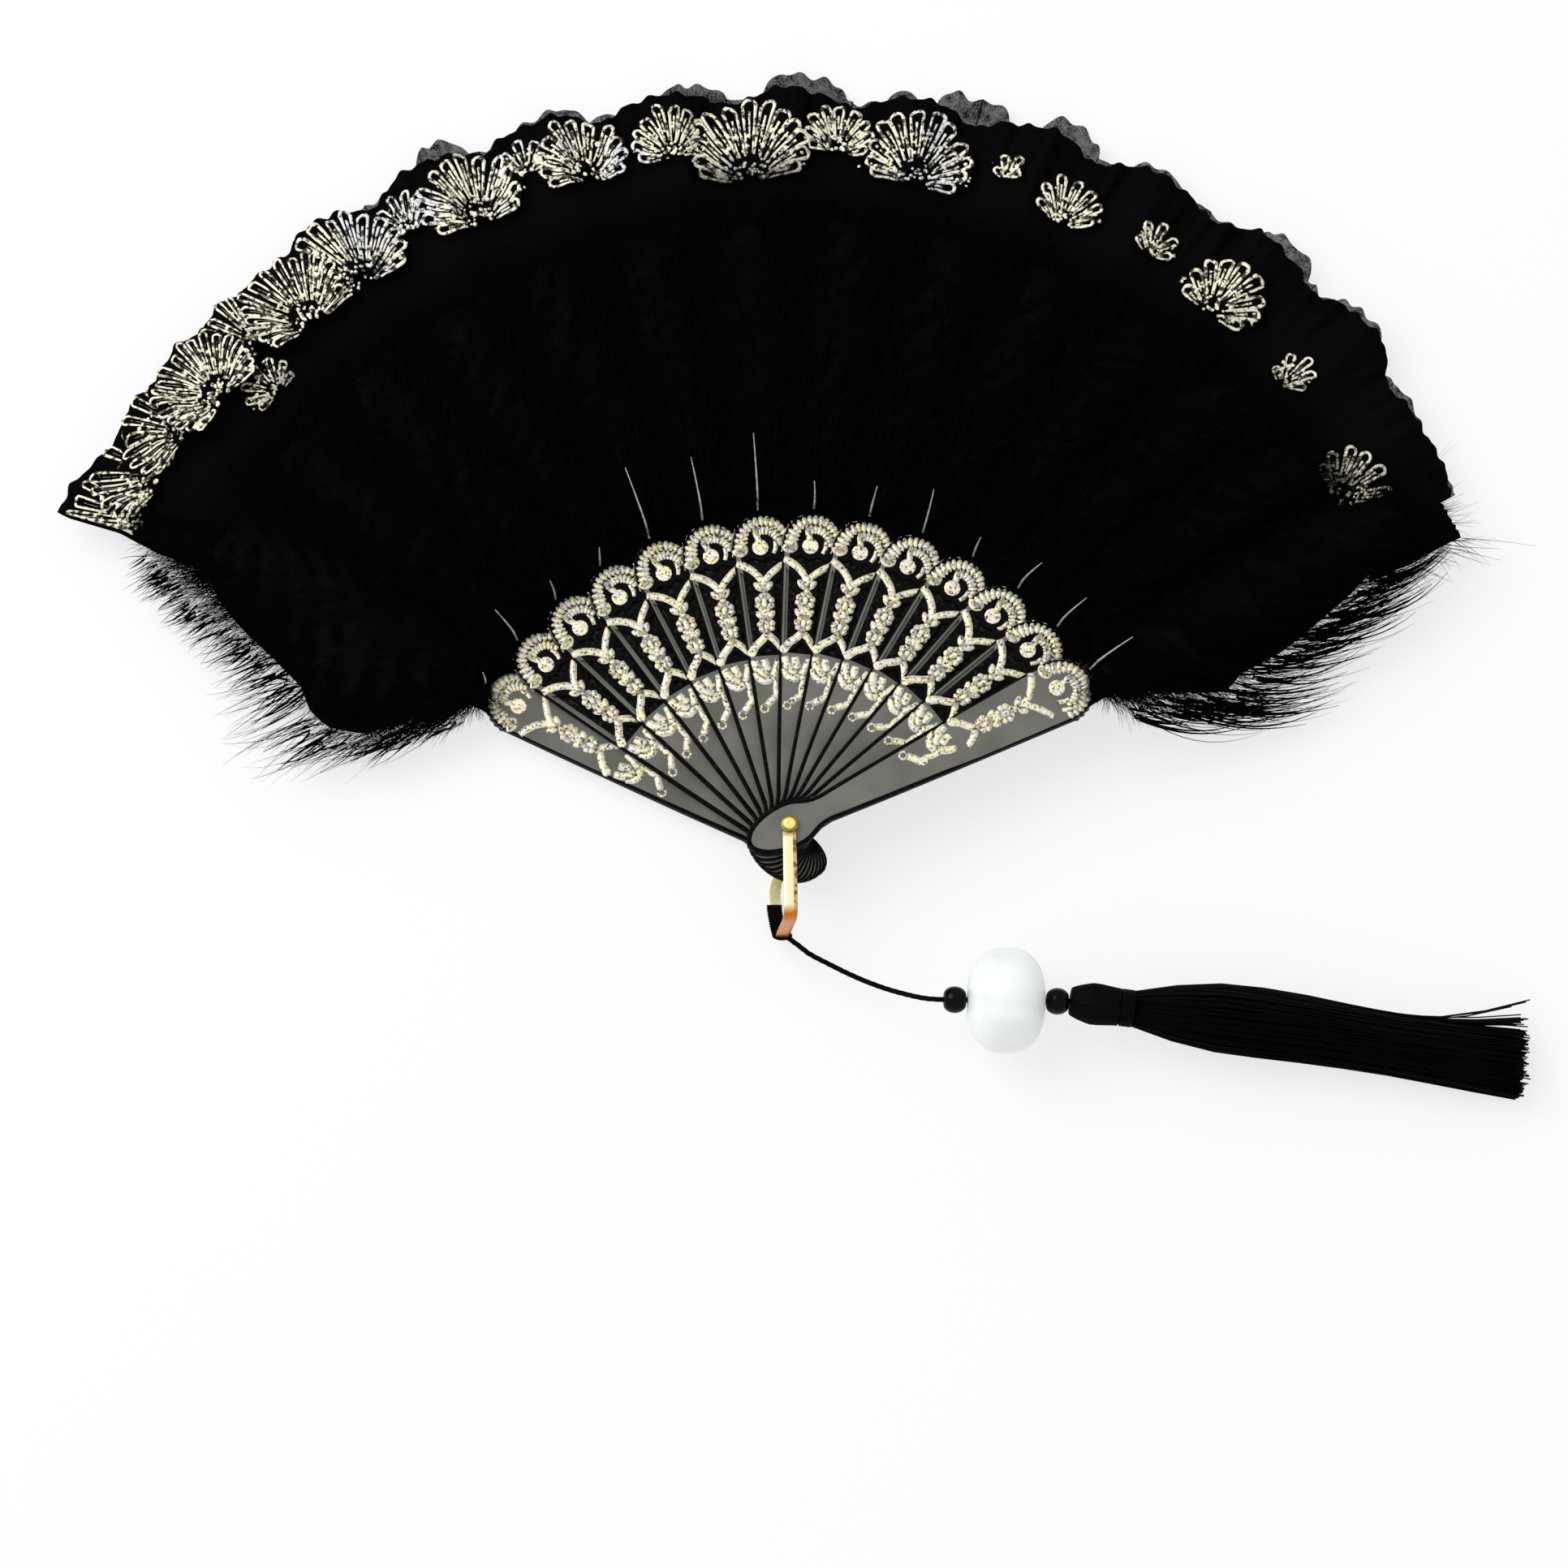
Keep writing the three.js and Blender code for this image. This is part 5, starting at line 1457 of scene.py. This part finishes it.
def from_tassel(distance, across, up):
    """Row-frame points from places on the tassel: distance from its top, across and up."""
    start, axis, side, above = tassel_frame()
    return start + distance[..., None] * axis + across[..., None] * side + up[..., None] * above


def skirt_half(distance):
    """Half-width of the skirt by distance from the tassel's top: narrow under the binding, a belly, a
    waist and a flared hem."""
    return np.interp(
        distance / mm, [13.5, 20, 28, 40, 54, 65, 78, 88, 100, 112, 122, 130, 136],
        [5.0, 6.6, 8.8, 10.2, 10.2, 9.8, 9.3, 9.1, 9.3, 9.7, 10.0, 10.4, 10.8],
    ) * mm


def skirt_place(distance, share, turn):
    """Row-frame points in the skirt: a share of its half-width at a turn, flattened onto the table."""
    half = skirt_half(distance)
    start, axis, _, _ = tassel_frame()
    height = start[2] + distance * axis[2]
    half_up = np.minimum(half * 0.8, height - 0.5 * mm)
    sag = 1.9 * mm * np.clip((distance / mm - 60) / 65, 0, 1)
    return from_tassel(distance, share * half * np.cos(turn) - sag, share * half_up * np.sin(turn))


def skirt_strands(rng, count):
    """Strands of the skirt: each keeps its share of the half-width and its turn, with a slow drift, and
    ends near the hem. A few stray outwards, and two bundles leave the upper side near the hem."""
    steps = 10
    share = np.sqrt(rng.random(count))[:, None]
    share = np.where(share < 0.55, 0.55 + share * 0.45, share)
    turn = rng.random((count, 1)) * 2 * np.pi
    length = tassel_length + (rng.normal(0, 1.3, (count, 1)) - 2.5) * mm
    along = np.linspace(0, 1, steps)
    distance = 13 * mm + (length - 13 * mm) * along
    drift = rng.normal(0, 0.16, (count, 1)) * np.sin(np.pi * along * 1.3)
    drift = drift + rng.normal(0, 0.1, (count, 1)) * along
    stray = (rng.random((count, 1)) < 0.05) * rng.random((count, 1)) * 0.2 * along**2
    number = np.arange(count)[:, None]
    bundled = number < 34
    bundle = np.where(number < 4, 1.0, np.where(bundled, 0.42, 0.0))
    bundle = bundle * np.clip((distance / mm - 92) / 36, 0, 1) ** 1.5
    turn = np.where(bundled, rng.normal(0, 0.16, (count, 1)), turn)
    share = np.where(bundled, 0.94, share)
    return skirt_place(distance, share * (1 + stray + bundle + 0.05 * np.sin(5 * along + turn)), turn + drift)


def skirt_core():
    """Heart of the skirt: a fluted, closed body under the strands."""
    distance = np.linspace(13.2 * mm, tassel_length - 7 * mm, 24)[:, None]
    turn = -2 * np.pi * np.arange(36)[None] / 36
    return rings(skirt_place(distance + 0 * turn, 0.74 + 0.03 * np.cos(9 * turn), turn)[None])


def tassel_head_rings():
    """The tassel's head: a barrel of fine lengthwise ridges from the bead to the binding, closed at
    both ends."""
    places = np.array([-5.0, -4.95, -4.3, -2.4, 0.0, 1.5, 3.5, 6.0, 8.0, 9.3, 9.5])[:, None]
    out = np.array([2.4, 3.7, 4.2, 4.9, 5.6, 5.9, 5.85, 5.6, 5.4, 5.3, 4.9])[:, None] * mm
    turn = -2 * np.pi * np.arange(72)[None] / 72
    half = out * (1 + 0.035 * np.cos(24 * turn))
    distance = places * mm + 0 * turn
    return rings(from_tassel(distance, half * np.cos(turn), half * np.sin(turn))[None])


def binding_path():
    """A helix of six turns round the neck of the tassel."""
    spin = np.linspace(0, 2 * np.pi * 6, 145)
    distance = tassel_head_length + 0.35 * mm + (binding_length - 0.7 * mm) * spin / spin[-1]
    half = binding_width / 2 - 0.1 * mm
    return from_tassel(distance, half * np.cos(spin), half * np.sin(spin))


# Settings


def color_setting(name, description, default):
    """A colour in a group of settings."""
    return bpy.props.FloatVectorProperty(
        name=name, description=description, subtype="COLOR", default=default, min=0, max=1
    )


def count_setting(name, description, default, low, high):
    """A whole number in a group of settings, with its limits."""
    return bpy.props.IntProperty(name=name, description=description, default=default, min=low, max=high)


def number_setting(name, description, default, low, high, **kind):
    """A number in a group of settings, with its limits and its unit or subtype."""
    return bpy.props.FloatProperty(
        name=name, description=description, default=default, min=low, max=high, **kind
    )


class FanStickSettings(bpy.types.PropertyGroup):
    """Colours of the sticks and their print."""

    plastic_color: color_setting("Plastic", "Colour of the sticks", (0.145, 0.143, 0.128))
    foil_color: color_setting("Foil", "Colour of the printed scrolls", (0.9, 0.86, 0.66))


class FanLaceSettings(bpy.types.PropertyGroup):
    """Net and thread of the leaf."""

    net_color: color_setting("Net", "Colour of the net", (0.002, 0.002, 0.0022))
    gold_color: color_setting("Gold thread", "Warm thread colour", (0.9, 0.87, 0.68))
    silver_color: color_setting("Pale thread", "Cool thread colour", (0.84, 0.83, 0.86))
    net_cells: number_setting("Net cells", "Cells of the net to the metre", 900.0, 200, 3000)
    frill_veil: number_setting(
        "Frill veil", "How much the thinnest places of the frill still hide", 0.88, 0, 1, subtype="FACTOR"
    )


class FanDownSettings(bpy.types.PropertyGroup):
    """Barbs of the plumes."""

    down_color: color_setting("Down", "Colour of the down", (0.0013, 0.0013, 0.0015))
    inner_barbs: count_setting("Inner barbs", "Barbs on each inner plume", 3050, 100, 7000)
    outer_barbs: count_setting("Outer barbs", "Barbs on each outer plume", 5100, 100, 6000)
    collar_barbs: count_setting(
        "Collar barbs", "Short barbs of each plume that fall onto its stick's head", 260, 0, 1000
    )
    wisps: count_setting("Wisps", "Long strands past the edge of each outer plume", 420, 0, 3000)
    barb_width: number_setting(
        "Barb half-width", "At the root", 0.19 * mm, 0.00005, 0.001, unit="LENGTH"
    )
    curl: number_setting("Curl", "How far barbs wander sideways", 1.6 * mm, 0, 0.01, unit="LENGTH")
    crushed_share: number_setting(
        "Crushed share", "Thickness left when the fan is closed", 0.12, 0.05, 1, subtype="FACTOR"
    )


class FanCordSettings(bpy.types.PropertyGroup):
    """Cord, beads and tassel."""

    bead_color: color_setting("Big bead", "Colour of the carved bead", (0.95, 0.97, 0.97))
    strands: count_setting("Strands", "Strands of the tassel", 1100, 50, 3000)


class FanStageSettings(bpy.types.PropertyGroup):
    """Camera and light."""

    elevation: bpy.props.FloatProperty(
        name="Elevation", description="Of the camera over the table", unit="ROTATION",
        default=np.radians(78.0),
    )
    distance: number_setting("Distance", "From the camera to the fan", 1.5, 0.3, 10, unit="LENGTH")
    picture_width: number_setting(
        "Picture width", "Width of the view at the fan", 0.46, 0.1, 3, unit="LENGTH"
    )


# Operators


class FanStage(bpy.types.Operator):
    """Camera at the photograph's angle, a white table and soft light."""

    bl_idname = "fan.stage"
    bl_label = "Stage"

    def execute(self, context):
        settings = context.scene.fan_stage
        target = Vector(table_under_pivot) + Vector((-0.24 * mm, 17.8 * mm, 10 * mm))
        back = Vector((0, -np.cos(settings.elevation), np.sin(settings.elevation)))
        camera = bpy.data.objects.new("camera", bpy.data.cameras.new("camera"))
        context.scene.collection.objects.link(camera)
        camera.data.sensor_width = 36
        camera.data.lens = 36 * settings.distance / settings.picture_width
        camera.location = target + back * settings.distance
        camera.rotation_euler = (-back).to_track_quat("-Z", "Y").to_euler()
        camera.data.clip_start, camera.data.clip_end = 0.05, 20
        context.scene.camera = camera
        context.scene.view_settings.view_transform = "Standard"
        self.make_table(context)
        self.make_light(context)
        return {"FINISHED"}

    def make_table(self, context):
        """A wide white sheet, which the camera and reflections see brighter than it is lit."""
        color = (0.86, 0.865, 0.885)
        material, tree, shader = new_material("white_table", color, 0.9, Specular_IOR_Level=0.1)
        path = add_node(tree, "ShaderNodeLightPath")
        seen = add_node(tree, "ShaderNodeMath", operation="MAXIMUM")
        through = add_node(tree, "ShaderNodeMath", operation="MAXIMUM")
        share = add_node(tree, "ShaderNodeMath", {1: 0.7}, operation="MULTIPLY")
        tree.links.new(path.outputs["Is Camera Ray"], seen.inputs[0])
        tree.links.new(path.outputs["Is Glossy Ray"], seen.inputs[1])
        tree.links.new(seen.outputs["Value"], through.inputs[0])
        tree.links.new(path.outputs["Is Transmission Ray"], through.inputs[1])
        tree.links.new(through.outputs["Value"], share.inputs[0])
        glow = add_node(tree, "ShaderNodeEmission", {"Color": (1, 1, 1, 1), "Strength": 1.0})
        mix = add_node(tree, "ShaderNodeMixShader")
        tree.links.new(share.outputs["Value"], mix.inputs["Fac"])
        tree.links.new(shader.outputs["BSDF"], mix.inputs[1])
        tree.links.new(glow.outputs["Emission"], mix.inputs[2])
        tree.links.new(mix.outputs["Shader"], tree.nodes["Material Output"].inputs["Surface"])
        corners = np.array([(-8, -8, 0), (8, -8, 0), (8, 8, 0), (-8, 8, 0)], float)
        table = build_mesh("table", corners, [np.array([[0, 1, 2, 3]])], material, smooth=False)

    def make_light(self, context):
        """An even white room, and one large soft lamp high on the left."""
        world = bpy.data.worlds.new("white_room")
        world.use_nodes = True
        world.node_tree.nodes["Background"].inputs["Color"].default_value = (1.0, 1.0, 1.0, 1)
        world.node_tree.nodes["Background"].inputs["Strength"].default_value = 0.75
        context.scene.world = world
        lamp = bpy.data.lights.new("soft_lamp", "AREA")
        lamp.energy, lamp.size = 16, 1.2
        holder = bpy.data.objects.new("soft_lamp", lamp)
        holder.location = (-0.9, 0.5, 1.3)
        holder.rotation_euler = (-Vector(holder.location)).to_track_quat("-Z", "Y").to_euler()
        context.scene.collection.objects.link(holder)


class FanCord(bpy.types.Operator):
    """The cord with its ring and whipping on the bail, the beads and the tassel, which all ride on it."""

    bl_idname = "fan.cord"
    bl_label = "Cord, beads and tassel"

    def execute(self, context):
        settings = context.scene.fan_cord
        fibre = spun_fibre("cord_fibre", (0.0015, 0.0014, 0.0012), 0.7, 1500.0)
        rayon = spun_fibre("rayon", (0.0008, 0.0008, 0.0009), 0.6, 900.0)
        path = cord_path(170)
        cord = build_mesh("laid_cord", *twisted(path, cord_radius, 7 * mm), fibre)
        dress(cord, "bail", ["cord"])
        ring, lead = hitch_paths()
        loops = joined([whipping(), twisted(ring, 0.5 * mm, 7 * mm), twisted(lead, cord_radius, 7 * mm)])
        dress(build_mesh("cord_hitch", *loops, fibre), "bail", ["cord_loop"])
        with_pieces = self.make_beads(settings) + self.make_tassel(settings, rayon)
        return {"FINISHED"}

    def make_beads(self, settings):
        """Two gloss black beads and the carved bead between them."""
        gloss, resin = black_glass(), frosted_bead(settings)
        middle, axis = bead_frame()
        apart = (big_bead_length + small_bead_length) / 2 + bead_gap
        small = bead_profile(small_bead_length, small_bead_radius + 0.2 * mm, 2.0, 21)
        beads = []
        for name, shift in (("small_bead_near", -apart), ("small_bead_far", apart)):
            bead = build_mesh(f"gloss_{name}", *turned_profile(small, 32, middle + axis * shift, axis), gloss)
            beads.append(dress(bead, "bail", [name]))
        big = bead_profile(big_bead_length, big_bead_radius, 2.4, 33)
        carved = build_mesh("carved_bead", *turned_profile(big, 160, middle, axis, carved_lobes), resin)
        beads.append(dress(carved, "bail", ["big_bead"]))
        return beads

    def make_tassel(self, settings, rayon):
        """Head, binding and skirt of the tassel."""
        head = build_mesh("ridged_head", *tassel_head_rings(), rayon)
        helix = twisted(binding_path(), 0.36 * mm, 2 * mm, sides=8, strands=2)
        distance = tassel_head_length + np.array([0.1, 4.0])[:, None] * mm
        turn = -2 * np.pi * np.arange(30)[None] / 30 + 0 * distance
        across, up = 5.0 * mm * np.cos(turn), 5.0 * mm * np.sin(turn)
        neck = rings(from_tassel(distance + 0 * turn, across, up)[None])
        binding = build_mesh("wound_binding", *joined([helix, neck]), rayon)
        strands = skirt_strands(np.random.default_rng(skirt_seed), settings.strands)
        half = (0.3 - 0.06 * np.linspace(0, 1, strands.shape[1])) * mm
        tubes = sweep(strands, half, half, (0.0, 0.0, 1.0), sides=3)
        skirt = build_mesh("strand_skirt", *joined([skirt_core(), tubes]), rayon)
        return [
            dress(head, "bail", ["tassel_head"]),
            dress(binding, "bail", ["tassel_binding"]),
            dress(skirt, "bail", ["tassel_skirt"]),
        ]


class FanSticks(bpy.types.Operator):
    """Finish of the sticks, and the foil print on each of them."""

    bl_idname = "fan.sticks"
    bl_label = "Sticks and print"

    def execute(self, context):
        settings = context.scene.fan_sticks
        plastic, foil, rim = stick_plastic(settings), printed_foil(settings), rim_and_gap_shade_black()
        scrolls = handle_scrolls()
        for index, (node, body) in enumerate(zip(stick_nodes, stick_bodies)):
            mesh = frame["nodes"][node].data
            mesh.materials.clear()
            mesh.materials.append(plastic)
            foil_print = print_on(f"foil_print_{index + 1:02d}", index, scrolls, stick_top(index), 1, foil)
            dress(foil_print, body)
            # The rim lines are partly the sticks' dark edges and partly painted shade of the gaps between
            # them
            dress(rim_and_gap_shade_lines(index, rim), body)
        blade = print_on("foil_print_blade", 0, blade_scrolls(), 0.0, -1, foil)
        dress(blade, "back_guard")
        return {"FINISHED"}


class FanLace(bpy.types.Operator):
    """The pleated leaf: net panels, their thread work and the frills behind their edges."""

    bl_idname = "fan.lace"
    bl_label = "Lace leaf"

    def execute(self, context):
        settings = context.scene.fan_lace
        net, thread, sheer = net_lace(settings), metal_thread(settings), sheer_net(settings)
        dress(tip_cap(net), "front_guard")
        for index in range(last_stick):
            panel, points = lace_panel(index, net)
            trimmings = [thread_work(index, thread), shell_cloth(index, net), edge_ruffle(index, sheer)]
            for piece in (panel, *trimmings):
                blend_panel(piece, index)
            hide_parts(f"lace_panel_{index + 1:02d}")
        return {"FINISHED"}


class FanDown(bpy.types.Operator):
    """The down plumes and the bare ends of their quills."""

    bl_idname = "fan.down"
    bl_label = "Down plumes"

    def execute(self, context):
        settings = context.scene.fan_down
        black, horn = down_black(settings), horn_quill()
        for index in range(stick_count):
            down_plume(index, settings, black)
            dress(quill(index, horn), stick_bodies[index])
        return {"FINISHED"}


class FanBail(bpy.types.Operator):
    """The gilt bail and the pivot pin."""

    bl_idname = "fan.bail"
    bl_label = "Bail and pin"

    def execute(self, context):
        gilt = gilt_metal()
        low = -layer_gap - bail_thickness / 2
        high = stick_top(last_stick) + layer_gap + bail_thickness / 2
        eyes = []
        for height in (low, high):
            profile = rounded_disc(height, bail_thickness, pin_radius + 0.2 * mm, bail_eye_radius)
            eyes.append(turned_profile(profile, 40, pivot, hinge_axis))
        strip = strip_along(bail_line(), bail_width / 2, bail_thickness / 2)
        bail = build_mesh("gilt_bail", *joined([strip, *eyes]), gilt)
        dress(bail, "bail", ["bail"])
        reach = layer_gap + bail_thickness / 2
        pin = turned_profile(pin_profile(low - reach, high + reach), 36, pivot, hinge_axis)
        dress(build_mesh("gilt_pin", *pin, gilt), "back_guard", ["pivot_pin"])
        return {"FINISHED"}


class FanPanel(bpy.types.Panel):
    """Lists the fan's operators and settings."""

    bl_idname = "VIEW3D_PT_feather_fan"
    bl_label = "Feather fan"
    bl_space_type = "VIEW_3D"
    bl_region_type = "UI"
    bl_category = "Feather fan"

    def draw(self, context):
        groups = ("fan_stage", "fan_cord", "fan_bail", "fan_sticks", "fan_lace", "fan_down")
        for operator, group in zip(operators, groups):
            self.layout.operator(operator.bl_idname)
            settings = getattr(context.scene, group, None)
            for prop in settings.bl_rna.properties if settings else ():
                if prop.identifier not in ("rna_type", "name"):
                    self.layout.prop(settings, prop.identifier)


setting_groups = {
    "fan_sticks": FanStickSettings,
    "fan_lace": FanLaceSettings,
    "fan_down": FanDownSettings,
    "fan_cord": FanCordSettings,
    "fan_stage": FanStageSettings,
}
operators = (FanStage, FanCord, FanBail, FanSticks, FanLace, FanDown)


def register():
    for cls in (*setting_groups.values(), *operators, FanPanel):
        bpy.utils.register_class(cls)
    for name, group in setting_groups.items():
        setattr(bpy.types.Scene, name, bpy.props.PointerProperty(type=group))


def unregister():
    for name in setting_groups:
        delattr(bpy.types.Scene, name)
    for cls in (FanPanel, *operators, *setting_groups.values()):
        bpy.utils.unregister_class(cls)


def main():
    register()
    bpy.ops.fan.stage()
    bpy.ops.fan.cord()
    bpy.ops.fan.bail()
    bpy.ops.fan.sticks()
    bpy.ops.fan.lace()
    bpy.ops.fan.down()


if __name__ == "__main__":
    main()
